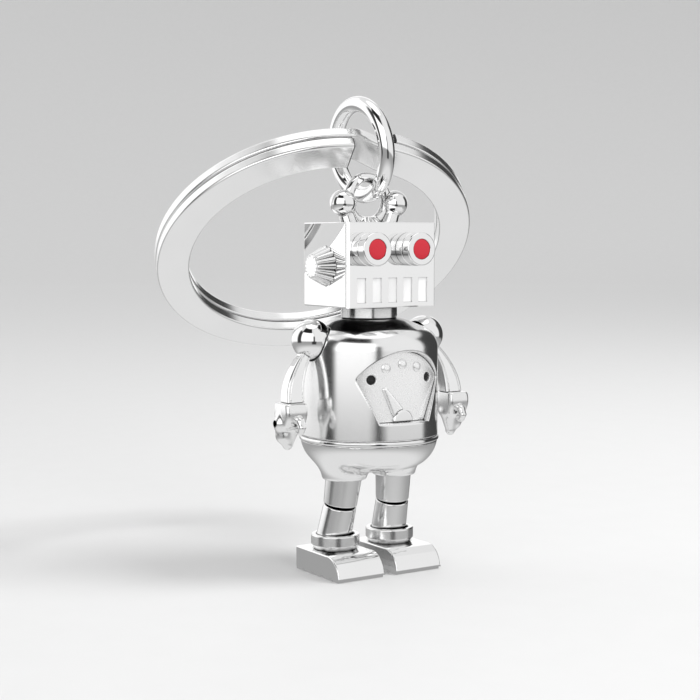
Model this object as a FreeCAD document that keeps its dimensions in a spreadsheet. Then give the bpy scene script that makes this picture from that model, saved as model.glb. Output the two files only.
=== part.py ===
import FreeCAD, Part
import math
import os
import re

import Sketcher
from FreeCAD import Placement, Rotation, Vector

# Chrome-plated robot charm on a key ring, in millimetres.
# +Z is up, the robot faces -Y and its left hand is on +X.  The origin is on the ground
# under the body axis, so the soles stand on the plane z = 0.

os.makedirs("parts", exist_ok=True)
doc = FreeCAD.newDocument("robot_key_ring")

# ---------------------------------------------------------------- driving dimensions

DIMENSIONS = {
    # general fits
    "running_gap": 0.03,
    "socket_gap": 0.06,
    "seat_gap": 0.02,
    "overrun": 0.1,
    "trim_size": 8.0,
    "trim_height": 4.0,
    # head box
    "head_width": 9.54,
    "head_depth": 7.82,
    "head_height": 7.78,
    "head_bottom": 25.04,
    "head_wall": 0.9,
    "head_edge": 0.12,
    "plate_thickness": 0.55,
    "plate_chamfer": 0.1,
    "plate_seam": 0.05,
    # teeth
    "tooth_pitch": 1.7,
    "tooth_width": 1.0,
    "tooth_height": 2.26,
    "tooth_bottom": 25.5,
    "tooth_pocket": 0.3,
    "tooth_thickness": 0.16,
    # eyes
    "eye_spacing": 4.82,
    "eye_offset": -0.6,
    "eye_level": 30.37,
    "eye_radius": 1.53,
    "eye_length": 2.06,
    "eye_groove": 0.14,
    "eye_edge": 0.12,
    "eye_spigot": 0.7,
    "lens_radius": 0.93,
    "lens_depth": 0.16,
    "lens_crown": 0.05,
    # ear knobs
    "ear_level": 28.8,
    "ear_base": 1.95,
    "ear_tip": 1.2,
    "ear_length": 1.6,
    "ear_spigot": 0.8,
    "ridge_base": 0.36,
    "ridge_tip": 0.23,
    "ridge_overrun": 0.2,
    # antennas
    "antenna_spread": 2.88,
    "antenna_level": 34.6,
    "antenna_ball": 1.25,
    "antenna_foot": 2.12,
    "antenna_stem": 0.72,
    "antenna_flare": 0.88,
    "antenna_spigot": 0.4,
    "stem_sink": 0.35,
    # hanging eye, connector ring and key ring
    "eye_loop_level": 34.9,
    "eye_loop_back": 0.35,
    "eye_loop_radius": 2.1,
    "eye_loop_wire": 0.5,
    "eye_shank": 0.6,
    "eye_shank_end": 30.9,
    "eye_foot_radius": 1.35,
    "eye_foot_top": 0.85,
    "eye_foot_height": 0.5,
    "nut_width": 1.15,
    "nut_height": 0.75,
    "link_radius": 4.25,
    "link_wire": 0.75,
    "link_back": 1.4,
    "link_level": 39.62,
    "link_tilt": 7.0,
    "ring_outer": 16.0,
    "ring_strip": 3.2,
    "ring_turn": 1.18,
    "ring_turn_gap": 0.04,
    "ring_corner": 0.3,
    "ring_x": 1.46,
    "ring_y": 12.3,
    "ring_level": 30.6,
    "ring_roll": 175.8,
    "ring_end": 1.0,
    "ring_phase": 4.4,
    "ring_ramp": 14.0,
    # torso
    "torso_radius": 6.48,
    "torso_top": 23.92,
    "torso_edge": 22.6,
    "torso_dome": 3.0,
    "torso_round": 2.0,
    "torso_wall": 1.6,
    "torso_bottom": 12.98,
    "cavity_top": 19.4,
    "well_radius": 3.0,
    "well_top": 22.9,
    "belt_radius": 6.58,
    "belt_height": 0.44,
    "belt_inner": 4.8,
    # gauge
    "fan_bottom": 14.66,
    "fan_foot": 2.62,
    "fan_corner": 4.42,
    "fan_corner_level": 18.6,
    "fan_apex": 21.1,
    "floor_radius": 10.7,
    "floor_front": 5.5,
    "fan_start": 2.0,
    "panel_thickness": 0.45,
    "panel_gap": 0.02,
    "lamp_radius": 0.42,
    "lamp_spread": 1.7,
    "lamp_level": 19.64,
    "lamp_top_level": 19.96,
    "lamp_height": 0.2,
    "screw_spread": 3.1,
    "screw_level": 18.6,
    "screw_head": 0.42,
    "screw_shank": 0.22,
    "screw_length": 1.2,
    "screw_sink": 0.34,
    "screw_head_height": 0.14,
    "screw_slot": 0.12,
    "screw_slot_depth": 0.07,
    "hub_radius": 1.05,
    "hub_height": 0.3,
    "hub_level": 14.76,
    "needle_length": 3.7,
    "needle_base": 0.7,
    "needle_tip": 0.24,
    "needle_height": 0.2,
    "needle_gap": 0.03,
    "needle_angle": 32.0,
    # neck
    "collar_radius": 2.64,
    "collar_edge": 0.1,
    "neck_pin_radius": 0.8,
    "neck_pin_bottom": 22.42,
    "neck_flange": 1.4,
    "neck_head": 1.3,
    "neck_head_height": 0.5,
    "neck_head_bevel": 0.2,
    "washer_radius": 1.7,
    "washer_height": 0.25,
    # arms
    "shoulder_spread": 6.28,
    "shoulder_level": 22.1,
    "shoulder_ball": 1.88,
    "shoulder_pin": 0.4,
    "pin_inner_end": 1.75,
    "pin_depth_in_ball": 0.9,
    "clip_radius": 0.8,
    "clip_height": 0.3,
    "clip_gap": 0.15,
    "arm_top_x": 7.2,
    "arm_top_y": -0.3,
    "arm_top_level": 20.9,
    "arm_mid_x": 8.45,
    "arm_mid_y": -0.6,
    "arm_mid_level": 18.8,
    "wrist_x": 8.85,
    "wrist_y": -0.87,
    "wrist_level": 16.55,
    "arm_top_half_width": 0.55,
    "arm_top_half_depth": 0.6,
    "arm_mid_half_width": 0.78,
    "arm_mid_half_depth": 0.82,
    "wrist_half_width": 0.92,
    "wrist_half_depth": 0.93,
    "hand_x": 9.1,
    "hand_y": -0.9,
    "cuff_half_width": 1.12,
    "cuff_half_depth": 1.45,
    "cuff_height": 2.3,
    "cuff_swell": 0.15,
    "palm_half_width": 0.87,
    "palm_half_depth": 1.1,
    "palm_back": 0.2,
    "finger_back": 0.4,
    "finger_root": 0.4,
    "finger_length": 2.5,
    "finger_radius": 0.95,
    "finger_tip": 0.38,
    "thumb_root": 0.57,
    "thumb_neck": 0.32,
    "thumb_end": 0.42,
    "thumb_lean": 25.0,
    "thumb_front": 1.25,
    "thumb_start": 1.0,
    "thumb_length": 1.35,
    "thumb_end_front": 1.8,
    "thumb_end_drop": 2.2,
    # pelvis and legs
    "bowl_bottom": 9.75,
    "spigot_height": 1.2,
    "hip_spread": 2.78,
    "hip_y": -0.05,
    "hip_level": 9.55,
    "hip_lean": 8.4,
    "hip_splay": 3.4,
    "hip_pin_radius": 0.3,
    "hip_pin_inner": 2.0,
    "hip_pin_outer": 1.8,
    "hip_pin_entry": 0.5,
    "boss_radius": 2.16,
    "boss_bottom": 8.9,
    "boss_round": 0.12,
    "boss_taper": 12.0,
    "boss_rise": 1.2,
    "hip_travel": 8.0,
    "hip_sleeve": 3.0,
    "thigh_radius": 1.72,
    "knee_radius": 1.58,
    "thigh_length": 3.1,
    "shin_top_radius": 1.56,
    "shin_foot_radius": 1.7,
    "shin_lean": 13.0,
    "shin_splay": 2.4,
    "knee_gap": 0.14,
    "knee_tenon": 0.7,
    "knee_tenon_length": 0.8,
    "knee_tenon_root": 0.1,
    "knee_room": 0.3,
    "shin_overlap": 1.0,
    "ankle_x": 3.09,
    "ankle_y": 1.06,
    "ankle_level": 3.62,
    "ankle_seat": 3.2,
    "ankle_radius": 2.29,
    "ankle_rim": 0.97,
    "ankle_under": 1.95,
    "ankle_pocket": 1.91,
    "ankle_edge": 0.12,
    "ankle_tenon": 0.7,
    "ankle_tenon_end": 0.9,
    # feet
    "foot_inner": 0.67,
    "foot_outer": 5.73,
    "foot_front": 3.76,
    "foot_back": 3.91,
    "foot_top": 2.2,
    "foot_toe_start": 1.4,
    "toe_arc_back": 0.62,
    "toe_arc_drop": 0.6,
    "foot_lip": 0.38,
    "foot_lip_step": 0.07,
    "foot_edge": 0.12,
    "tread_height": 0.24,
    "tread_width": 1.05,
    "tread_pitch": 1.58,
    "tread_front": 3.5,
    "tread_inset": 0.06,
}

sheet = doc.addObject("Spreadsheet::Sheet", "dims")
for row, (alias, number) in enumerate(DIMENSIONS.items(), start=1):
    sheet.set("A%d" % row, alias.replace("_", " "))
    sheet.set("B%d" % row, str(number))
    sheet.setAlias("B%d" % row, alias)
doc.recompute()

# ---------------------------------------------------------------- helpers

WORD = re.compile(r"\b[a-z][a-z_]+\b")
FUNCTIONS = ("sin", "cos", "tan", "sqrt", "deg")
parts = []


def linked(text):
    """The expression with every dimension name pointed at the sheet."""
    def point(found):
        word = found.group()
        return word if word in FUNCTIONS else "dims." + word
    return WORD.sub(point, text)


def value(text):
    """The present number of an expression of dimension names."""
    result = sheet.evalExpression(linked(text))
    return float(getattr(result, "Value", result))


def bind(item, **expressions):
    """Bind properties of a document object to expressions; Base_x stands for Placement.Base.x."""
    for name, text in expressions.items():
        path = name.replace("Base_", "Placement.Base.") if name.startswith("Base_") else name
        item.setExpression(path, linked(text))


def keep(item, label):
    """Give a sub-part its own label and list it for export."""
    item.Label = label
    parts.append(item)
    return item


def primitive(kind, name, rotation=None, **expressions):
    """A Part primitive, turned first and then bound to the sheet."""
    item = doc.addObject("Part::" + kind, name)
    if rotation is not None:
        item.Placement = Placement(Vector(0, 0, 0), rotation)
    bind(item, **expressions)
    return item


def cut(name, base, *tools):
    """The base with one or more tools taken away."""
    item = doc.addObject("Part::Cut", name)
    item.Base = base
    item.Tool = tools[0] if len(tools) == 1 else fuse(name + "_tools", *tools)
    return item


def fuse(name, *shapes):
    item = doc.addObject("Part::MultiFuse", name)
    item.Shapes = list(shapes)
    return item


def common(name, *shapes):
    item = doc.addObject("Part::MultiCommon", name)
    item.Shapes = list(shapes)
    return item


def body(name):
    return doc.addObject("PartDesign::Body", name)


def plane(owner, role):
    return next(f for f in owner.Origin.OriginFeatures if f.Role == role)


def sketch(owner, name, role, offset=None):
    """An empty sketch on one of the body's own origin planes, offset along the plane's normal."""
    item = owner.newObject("Sketcher::SketchObject", name)
    item.AttachmentSupport = (plane(owner, role), [""])
    item.MapMode = "FlatFace"
    if offset is not None:
        item.setExpression("AttachmentOffset.Base.z", linked(offset))
    return item


def pin_point(item, geometry, end, x, y):
    """Fix one sketch point by its two distances from the origin."""
    for kind, text in (("DistanceX", x), ("DistanceY", y)):
        index = item.addConstraint(Sketcher.Constraint(kind, -1, 1, geometry, end, value(text)))
        item.setExpression("Constraints[%d]" % index, linked(text))


def outline(item, points):
    """A closed outline through the points.

    A point is (x, y); a third entry "arc" with a middle point (x, y, "arc", mx, my) makes the
    stretch that leaves this point an arc through the middle point.
    """
    count = len(points)
    flat = [Vector(value(p[0]), value(p[1]), 0) for p in points]
    ends = []
    for i, point in enumerate(points):
        start, stop = flat[i], flat[(i + 1) % count]
        if len(point) > 2:
            middle = Vector(value(point[3]), value(point[4]), 0)
            arc = item.addGeometry(Part.Arc(start, middle, stop), False)
            from_first = item.getPoint(arc, 1).distanceToPoint(start)
            from_second = item.getPoint(arc, 2).distanceToPoint(start)
            ends.append((arc, 1, 2) if from_first <= from_second else (arc, 2, 1))
        else:
            ends.append((item.addGeometry(Part.LineSegment(start, stop), False), 1, 2))
    for i, (geometry, _, last) in enumerate(ends):
        following, first, _ = ends[(i + 1) % count]
        item.addConstraint(Sketcher.Constraint("Coincident", geometry, last, following, first))
    for point, (geometry, first, _) in zip(points, ends):
        pin_point(item, geometry, first, point[0], point[1])
        if len(point) > 2:
            middle = Vector(value(point[3]), value(point[4]), 0)
            mark = item.addGeometry(Part.Point(middle), True)
            pin_point(item, mark, 1, point[3], point[4])
            item.addConstraint(Sketcher.Constraint("PointOnObject", mark, 1, geometry))


def circle(item, x, y, radius):
    centre = Vector(value(x), value(y), 0)
    ring = item.addGeometry(Part.Circle(centre, Vector(0, 0, 1), value(radius)), False)
    pin_point(item, ring, 3, x, y)
    index = item.addConstraint(Sketcher.Constraint("Radius", ring, value(radius)))
    item.setExpression("Constraints[%d]" % index, linked(radius))


def spun(name, points, axis="V_Axis", role="XZ_Plane"):
    """A body turned from a half outline about the sketch's own vertical or horizontal axis."""
    owner = body(name)
    profile = sketch(owner, name + "_profile", role)
    outline(profile, points)
    turned = owner.newObject("PartDesign::Revolution", name + "_turned")
    turned.Profile = profile
    turned.ReferenceAxis = (profile, [axis])
    turned.Angle = 360.0
    owner.Tip = turned
    doc.recompute()
    return owner


def padded(name, points, length, role="XY_Plane", offset=None, midplane=False, backwards=False):
    """A body padded from a closed outline."""
    owner = body(name)
    profile = sketch(owner, name + "_profile", role, offset)
    outline(profile, points)
    pad = owner.newObject("PartDesign::Pad", name + "_pad")
    pad.Profile = profile
    pad.setExpression("Length", linked(length))
    pad.Midplane = midplane
    pad.Reversed = backwards
    owner.Tip = pad
    doc.recompute()
    return owner


def dress(owner, kind, size, wanted):
    """Fillet or chamfer the edges of the body's tip for which wanted(edge) holds."""
    tip = owner.Tip
    names = ["Edge%d" % (i + 1) for i, edge in enumerate(tip.Shape.Edges) if wanted(edge)]
    item = owner.newObject("PartDesign::" + kind, "%s_%s" % (owner.Name, kind.lower()))
    item.Base = (tip, names)
    item.setExpression("Radius" if kind == "Fillet" else "Size", linked(size))
    owner.Tip = item
    doc.recompute()
    return item


def at(edge, **limits):
    """Is the edge's middle at the given coordinates, each to 0.01 mm?"""
    middle = edge.BoundBox.Center
    return all(abs(getattr(middle, axis) - number) < 0.01 for axis, number in limits.items())


ALONG_X = Rotation(Vector(0, 1, 0), 90)
ALONG_Y = Rotation(Vector(1, 0, 0), -90)
ALONG_MINUS_Y = Rotation(Vector(1, 0, 0), 90)
DOWNWARD = Rotation(Vector(1, 0, 0), 180)
SIDES = (("left", 1), ("right", -1))
TEETH = 5
EAR_RIDGES = 16
TREADS = 5
ROOF = "head_bottom + head_height"


def sided(text, side):
    """The expression on the robot's left, or its negative on the right."""
    return text if side > 0 else "-(%s)" % text


# ---------------------------------------------------------------- head

def make_head_shell():
    """An open-fronted cast box: walls, floor and roof, with the holes its fittings need."""
    box = padded(
        "head_box",
        [
            ("-head_width / 2", "head_bottom"),
            ("head_width / 2", "head_bottom"),
            ("head_width / 2", "head_bottom + head_height"),
            ("-head_width / 2", "head_bottom + head_height"),
        ],
        "head_depth - plate_thickness - plate_seam",
        role="XZ_Plane",
        offset="-head_depth / 2",
    )
    front = value("-head_depth / 2 + plate_thickness + plate_seam")
    dress(box, "Fillet", "head_edge", lambda edge: not at(edge, y=front))
    hollow = primitive(
        "Box",
        "head_hollow",
        Length="head_width - 2 * head_wall",
        Width="head_depth",
        Height="head_height - 2 * head_wall",
        Base_x="-head_width / 2 + head_wall",
        Base_y="-head_depth / 2 - head_wall",
        Base_z="head_bottom + head_wall",
    )
    holes = [
        primitive("Cylinder", "neck_hole", Radius="neck_pin_radius + running_gap",
                  Height="head_wall * 2", Base_z="head_bottom - head_wall / 2"),
        primitive("Cylinder", "eye_hole", Radius="eye_shank + seat_gap", Height="head_wall * 2",
                  Base_y="eye_loop_back", Base_z="head_bottom + head_height - head_wall * 1.5"),
    ]
    for name, side in SIDES:
        holes.append(primitive("Cylinder", "antenna_hole_" + name, Radius="antenna_spigot + seat_gap",
                               Height="head_wall * 2", Base_x=sided("antenna_foot", side),
                               Base_z="head_bottom + head_height - head_wall * 1.5"))
        holes.append(primitive("Cylinder", "ear_hole_" + name, ALONG_X, Radius="ear_spigot + seat_gap",
                               Height="head_wall * 2", Base_z="ear_level",
                               Base_x=sided("head_width / 2", side) + " - head_wall"))
    return keep(cut("head_shell_cut", box, hollow, *holes), "head_shell")


def make_face_plate():
    """The bevelled front plate with five tooth pockets and two eye holes."""
    plate = padded(
        "face_plate_body",
        [
            ("-head_width / 2", "head_bottom"),
            ("head_width / 2", "head_bottom"),
            ("head_width / 2", "head_bottom + head_height"),
            ("-head_width / 2", "head_bottom + head_height"),
        ],
        "plate_thickness",
        role="XZ_Plane",
        offset="head_depth / 2 - plate_thickness",
    )
    face = value("-head_depth / 2")
    rear = value("-head_depth / 2 + plate_thickness")
    dress(plate, "Chamfer", "plate_chamfer", lambda edge: at(edge, y=face) or at(edge, y=rear))
    pockets = tooth_boxes("tooth_pocket", "-head_depth / 2 - tooth_pocket", "2 * tooth_pocket")
    holes = [
        primitive("Cylinder", "eye_seat_" + name, ALONG_MINUS_Y, Radius="eye_spigot + seat_gap",
                  Height="2 * plate_thickness", Base_x=eye_x(side), Base_z="eye_level",
                  Base_y="-head_depth / 2 + 1.5 * plate_thickness")
        for name, side in SIDES
    ]
    return keep(cut("face_plate_cut", plate, *pockets, *holes), "face_plate")


def tooth_boxes(name, front, depth, inset="0"):
    """Five equal boxes in a row across the mouth."""
    boxes = []
    for index in range(TEETH):
        boxes.append(primitive(
            "Box",
            "%s_%d" % (name, index + 1),
            Length="tooth_width - 2 * %s" % inset,
            Width=depth,
            Height="tooth_height - 2 * %s" % inset,
            Base_x="(%d) * tooth_pitch - tooth_width / 2 + %s" % (index - TEETH // 2, inset),
            Base_y=front,
            Base_z="tooth_bottom + %s" % inset,
        ))
    return boxes


def make_teeth():
    """Five white enamel fillings, each a separate solid set back in its pocket."""
    fillings = tooth_boxes(
        "tooth", "-head_depth / 2 + tooth_pocket - tooth_thickness",
        "tooth_thickness - seat_gap / 2", inset="seat_gap / 2")
    group = doc.addObject("Part::Compound", "teeth_group")
    group.Links = fillings
    return keep(group, "teeth")


def eye_x(side):
    return "eye_offset + %s" % sided("eye_spacing / 2", side)


def make_eye(name, side):
    """A stepped turned barrel with a groove round its middle and a shallow cup for the enamel."""
    barrel = spun(
        "eye_barrel_%s_body" % name,
        [
            ("0", "-eye_length + lens_depth"),
            ("lens_radius", "-eye_length + lens_depth"),
            ("lens_radius", "-eye_length"),
            ("eye_radius - eye_edge", "-eye_length"),
            ("eye_radius", "-eye_length + eye_edge"),
            ("eye_radius", "-eye_length / 2 - eye_groove / 2"),
            ("eye_radius - eye_groove", "-eye_length / 2 - eye_groove / 4"),
            ("eye_radius - eye_groove", "-eye_length / 2 + eye_groove / 4"),
            ("eye_radius", "-eye_length / 2 + eye_groove / 2"),
            ("eye_radius", "0"),
            ("eye_spigot", "0"),
            ("eye_spigot", "plate_thickness"),
            ("0", "plate_thickness"),
        ],
        role="XY_Plane",
    )
    bind(barrel, Base_x=eye_x(side), Base_y="-head_depth / 2", Base_z="eye_level")
    keep(barrel, "eye_barrel_" + name)
    lens = spun(
        "eye_lens_%s_body" % name,
        [
            ("0", "-lens_depth - lens_crown", "arc", "lens_radius / 2", "-lens_depth - 0.75 * lens_crown"),
            ("lens_radius - seat_gap", "-lens_depth"),
            ("lens_radius - seat_gap", "0"),
            ("0", "0"),
        ],
        role="XY_Plane",
    )
    bind(lens, Base_x=eye_x(side), Base_y="-head_depth / 2 - eye_length + lens_depth", Base_z="eye_level")
    keep(lens, "eye_lens_" + name)


def make_ear_knob(name, side):
    """A truncated cone ringed by rounded ridges, with a spigot into the head's side."""
    outward = Rotation(Vector(0, 1, 0), 90 * side)
    origin = {"Base_x": sided("head_width / 2", side), "Base_z": "ear_level"}
    ridge_middle_base = value("ear_base - ridge_base")
    ridge_middle_tip = value("ear_tip - ridge_tip")
    length = value("ear_length")
    slant = math.degrees(math.atan2(ridge_middle_base - ridge_middle_tip, length))
    solids = [
        primitive("Cone", "ear_core_" + name, outward, Radius1="ear_base - ridge_base",
                  Radius2="ear_tip - ridge_tip", Height="ear_length", **origin),
        primitive("Cylinder", "ear_spigot_" + name, outward, Radius="ear_spigot",
                  Height="2 * head_wall - seat_gap",
                  Base_x=sided("head_width / 2 - head_wall + seat_gap", side), Base_z="ear_level"),
    ]
    ridges = []
    for index in range(EAR_RIDGES):
        turn = Rotation(Vector(0, 0, 1), 360.0 * index / EAR_RIDGES)
        lean = Rotation(Vector(0, 1, 0), -slant)
        start = Vector(ridge_middle_base, 0, -value("ridge_overrun"))
        foot = outward.multVec(turn.multVec(start))
        ridge = doc.addObject("Part::Cone", "ear_ridge_%s_%d" % (name, index + 1))
        bind(ridge, Radius1="ridge_base", Radius2="ridge_tip", Height="ear_length + 2 * ridge_overrun")
        ridge.Placement = Placement(
            foot + Vector(side * value("head_width / 2"), 0, value("ear_level")),
            outward * turn * lean)
        ridges.append(ridge)
    slab = primitive("Cylinder", "ear_slab_" + name, outward, Radius="2 * ear_base",
                     Height="ear_length", **origin)
    trimmed = common("ear_ridges_" + name, fuse("ear_ridge_ring_" + name, *ridges), slab)
    return keep(fuse("ear_knob_%s_fuse" % name, trimmed, *solids), "ear_knob_" + name)


def make_antenna(name, side):
    """A ball on a short stout stem that leans outward, with a spigot into the head's roof."""
    rise = value("antenna_level - head_bottom - head_height")
    run = value("antenna_spread - antenna_foot")
    lean = Rotation(Vector(0, 1, 0), side * math.degrees(math.atan2(run, rise)))
    ball = primitive("Sphere", "antenna_ball_" + name, Radius="antenna_ball",
                     Base_x=sided("antenna_spread", side), Base_z="antenna_level")
    stem = doc.addObject("Part::Cone", "antenna_stem_" + name)
    bind(stem, Radius1="antenna_flare", Radius2="antenna_stem",
         Height="antenna_level - head_bottom - head_height + stem_sink")
    stem.Placement = Placement(
        Vector(side * value("antenna_foot"), 0, value(ROOF))
        - lean.multVec(Vector(0, 0, value("stem_sink"))), lean)
    roof_block = primitive("Box", "antenna_trim_" + name, Length="trim_size", Width="trim_size",
                           Height="trim_height", Base_x=sided("antenna_spread", side) + " - trim_size / 2",
                           Base_y="-trim_size / 2", Base_z=ROOF + " - trim_height")
    spigot = primitive("Cylinder", "antenna_spigot_" + name, Radius="antenna_spigot",
                       Height="head_wall * 1.2", Base_x=sided("antenna_foot", side),
                       Base_z=ROOF + " - head_wall")
    foot_room = primitive("Cylinder", "antenna_foot_room_" + name, Radius="eye_foot_radius + seat_gap",
                          Height="eye_foot_height + 2 * overrun", Base_y="eye_loop_back",
                          Base_z=ROOF + " - overrun")
    loop_room = primitive("Torus", "antenna_loop_room_" + name, ALONG_Y, Radius1="eye_loop_radius",
                          Radius2="eye_loop_wire + seat_gap", Base_y="eye_loop_back",
                          Base_z="eye_loop_level")
    trimmed = cut("antenna_trimmed_" + name, fuse("antenna_blank_" + name, ball, stem),
                  roof_block, foot_room, loop_room)
    return keep(fuse("antenna_%s_fuse" % name, trimmed, spigot), "antenna_" + name)


def make_hanging_eye():
    """A ring facing forward on a round foot, with a shank through the head's roof."""
    loop = primitive("Torus", "eye_loop", ALONG_Y, Radius1="eye_loop_radius", Radius2="eye_loop_wire",
                     Base_y="eye_loop_back", Base_z="eye_loop_level")
    trim = primitive("Box", "eye_loop_trim", Length="trim_size", Width="trim_size", Height="trim_height",
                     Base_x="-trim_size / 2", Base_y="-trim_size / 2", Base_z=ROOF + " - trim_height")
    foot = primitive("Cone", "eye_foot", Radius1="eye_foot_radius", Radius2="eye_foot_top",
                     Height="eye_foot_height", Base_y="eye_loop_back", Base_z=ROOF)
    shank = primitive("Cylinder", "eye_shank", Radius="eye_shank", Base_y="eye_loop_back",
                      Height=ROOF + " - eye_shank_end + overrun", Base_z="eye_shank_end")
    return keep(fuse("hanging_eye_fuse", cut("eye_loop_cut", loop, trim), foot, shank), "hanging_eye")


def make_eye_nut():
    """The nut that clamps the hanging eye to the roof from inside."""
    nut_bottom = ROOF + " - head_wall - seat_gap - nut_height"
    nut = doc.addObject("Part::Prism", "eye_nut_prism")
    nut.Polygon = 6
    bind(nut, Circumradius="nut_width", Height="nut_height", Base_y="eye_loop_back", Base_z=nut_bottom)
    bore = primitive("Cylinder", "eye_nut_bore", Radius="eye_shank + seat_gap / 2",
                     Height="nut_height + 2 * overrun", Base_y="eye_loop_back",
                     Base_z=nut_bottom + " - overrun")
    return keep(cut("hanging_eye_nut_cut", nut, bore), "hanging_eye_nut")


# ---------------------------------------------------------------- rings

def make_connector_ring():
    """The round-wire link between the hanging eye and the key ring."""
    lean = Rotation(Vector(0, 1, 0), -value("link_tilt"))
    ring = primitive("Torus", "connector_torus", lean * ALONG_X, Radius1="link_radius",
                     Radius2="link_wire", Base_y="link_back", Base_z="link_level")
    return keep(ring, "connector_ring")


def rounded_bar(width, height, corner, place):
    """The closed wire of a rounded rectangle; place turns its two coordinates into a point."""
    arcs = []
    for side_x, side_y, first in ((1, 1, 0), (-1, 1, 90), (-1, -1, 180), (1, -1, 270)):
        points = []
        for angle in (first, first + 45, first + 90):
            turn = math.radians(angle)
            points.append(place(side_x * (width / 2 - corner) + corner * math.cos(turn),
                                side_y * (height / 2 - corner) + corner * math.sin(turn)))
        arcs.append(Part.Arc(*points).toShape())
    edges = []
    for arc, following in zip(arcs, arcs[1:] + arcs[:1]):
        leaving = arc.valueAt(arc.LastParameter)
        entering = following.valueAt(following.FirstParameter)
        edges.extend([arc, Part.makeLine(leaving, entering)])
    return Part.Wire(edges)


def make_split_ring():
    """Two flat turns of one hardened strip, which crosses from the front to the rear turn.

    The strip hangs in the link near angle 0; the phase turns its ends and its crossing about
    the ring's axis, so that the front turn ends just past the link.
    """
    middle = value("ring_outer - ring_strip / 2")
    rise = value("ring_turn + ring_turn_gap")
    end, ramp, phase = value("ring_end"), value("ring_ramp"), value("ring_phase")

    def spot(angle):
        turn = math.radians(angle + phase)
        share = min(max((angle - 360 + ramp) / ramp, 0.0), 1.0)
        level = rise * (0.5 - share * share * (3 - 2 * share))
        return Vector(middle * math.cos(turn), middle * math.sin(turn), level)

    last = 720 - ramp - 2 * end
    steps = 160
    path = Part.BSplineCurve()
    path.interpolate([spot(end + (last - end) * i / steps) for i in range(steps + 1)])
    begin = spot(end)
    out = Vector(begin.x, begin.y, 0).normalize()
    profile = rounded_bar(value("ring_strip"), value("ring_turn"), value("ring_corner"),
                          lambda wide, thick: begin + out * wide + Vector(0, 0, thick))
    shell = Part.BRepOffsetAPI.MakePipeShell(Part.Wire([path.toShape()]))
    shell.setBiNormalMode(Vector(0, 0, 1))
    shell.add(profile, False, False)
    shell.build()
    shell.makeSolid()
    ring = doc.addObject("Part::Feature", "split_ring_strip")
    ring.Shape = shell.shape()
    centre = Vector(value("ring_x"), value("ring_y"), value("ring_level"))
    toward = (Vector(0, value("link_back"), value("link_level")) - centre).normalize()
    level_side = Vector(0, 0, 1).cross(toward).normalize()
    side = Rotation(toward, value("ring_roll")).multVec(level_side)
    normal = toward.cross(side)
    ring.Placement = Placement(centre, Rotation(toward, side, normal, "XYZ"))
    return keep(ring, "split_ring")


# ---------------------------------------------------------------- torso and gauge

def make_torso_shell():
    """The hollow barrel: solid shoulders with a central well, sockets for the shoulder balls."""
    barrel = spun(
        "torso_barrel",
        [
            ("torso_radius", "torso_bottom"),
            ("torso_radius", "torso_edge"),
            ("torso_dome", "torso_top"),
            ("neck_pin_radius", "torso_top"),
            ("neck_pin_radius", "well_top"),
            ("well_radius", "well_top"),
            ("well_radius", "cavity_top"),
            ("torso_radius - torso_wall", "cavity_top"),
            ("torso_radius - torso_wall", "torso_bottom"),
        ],
    )
    edge_level = value("torso_edge")
    wide = value("torso_radius")
    dress(barrel, "Fillet", "torso_round",
          lambda edge: at(edge, z=edge_level) and abs(edge.BoundBox.XLength - 2 * wide) < 0.01)
    recess = cut("gauge_recess", fan_prism("recess_fan", "0"),
                 floor_cylinder("recess_floor", "floor_radius - panel_thickness"))
    tools = [recess]
    for name, side in SIDES:
        tools.append(primitive("Sphere", "ball_socket_" + name, Radius="shoulder_ball + socket_gap",
                               Base_x=sided("shoulder_spread", side), Base_z="shoulder_level"))
        tools.append(primitive("Cylinder", "pin_bore_" + name, Rotation(Vector(0, 1, 0), 90 * side),
                               Radius="shoulder_pin + running_gap", Height="torso_radius - pin_inner_end",
                               Base_x=sided("pin_inner_end", side), Base_z="shoulder_level"))
        tools.append(gauge_screw_hole(name, side))
    return keep(cut("torso_shell_cut", barrel, *tools), "torso_shell")


def fan_prism(name, inset):
    """The fan outline of the gauge, drawn on the front plane and padded forward."""
    return padded(
        name,
        [
            ("-fan_foot + %s" % inset, "fan_bottom + %s" % inset),
            ("fan_foot - %s" % inset, "fan_bottom + %s" % inset),
            ("fan_corner - %s" % inset, "fan_corner_level", "arc", "0",
             "fan_apex - %s" % inset),
            ("-fan_corner + %s" % inset, "fan_corner_level"),
        ],
        "torso_radius",
        role="XZ_Plane",
        offset="fan_start",
    )


def floor_cylinder(name, radius):
    """The gently curved gauge floor: an upright cylinder whose front line is at floor_front."""
    return primitive("Cylinder", name, Radius=radius, Height="torso_top",
                     Base_y="floor_radius - floor_front")


def floor_depth(x):
    """How far forward (-y) the gauge panel's face stands at a sideways distance x."""
    radius = value("floor_radius")
    return radius - value("floor_front") - math.sqrt(radius * radius - x * x)


def panel_turn(x):
    """The turn about Z that faces a part square to the curved panel at x."""
    return math.degrees(math.asin(x / value("floor_radius")))


def make_gauge_panel():
    """A curved fan-shaped dial plate that fills the bottom of the recess."""
    plate = common("gauge_plate", fan_prism("panel_fan", "panel_gap"),
                   floor_cylinder("panel_face", "floor_radius"))
    back = floor_cylinder("panel_back", "floor_radius - panel_thickness + panel_gap")
    drum = primitive("Cylinder", "panel_drum", Radius="torso_radius - panel_gap", Height="torso_top")
    holes = [gauge_screw_hole("panel_" + name, side) for name, side in SIDES]
    drilled = cut("gauge_panel_cut", plate, back, *holes)
    return keep(common("gauge_panel_common", drilled, drum), "gauge_panel")


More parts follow.
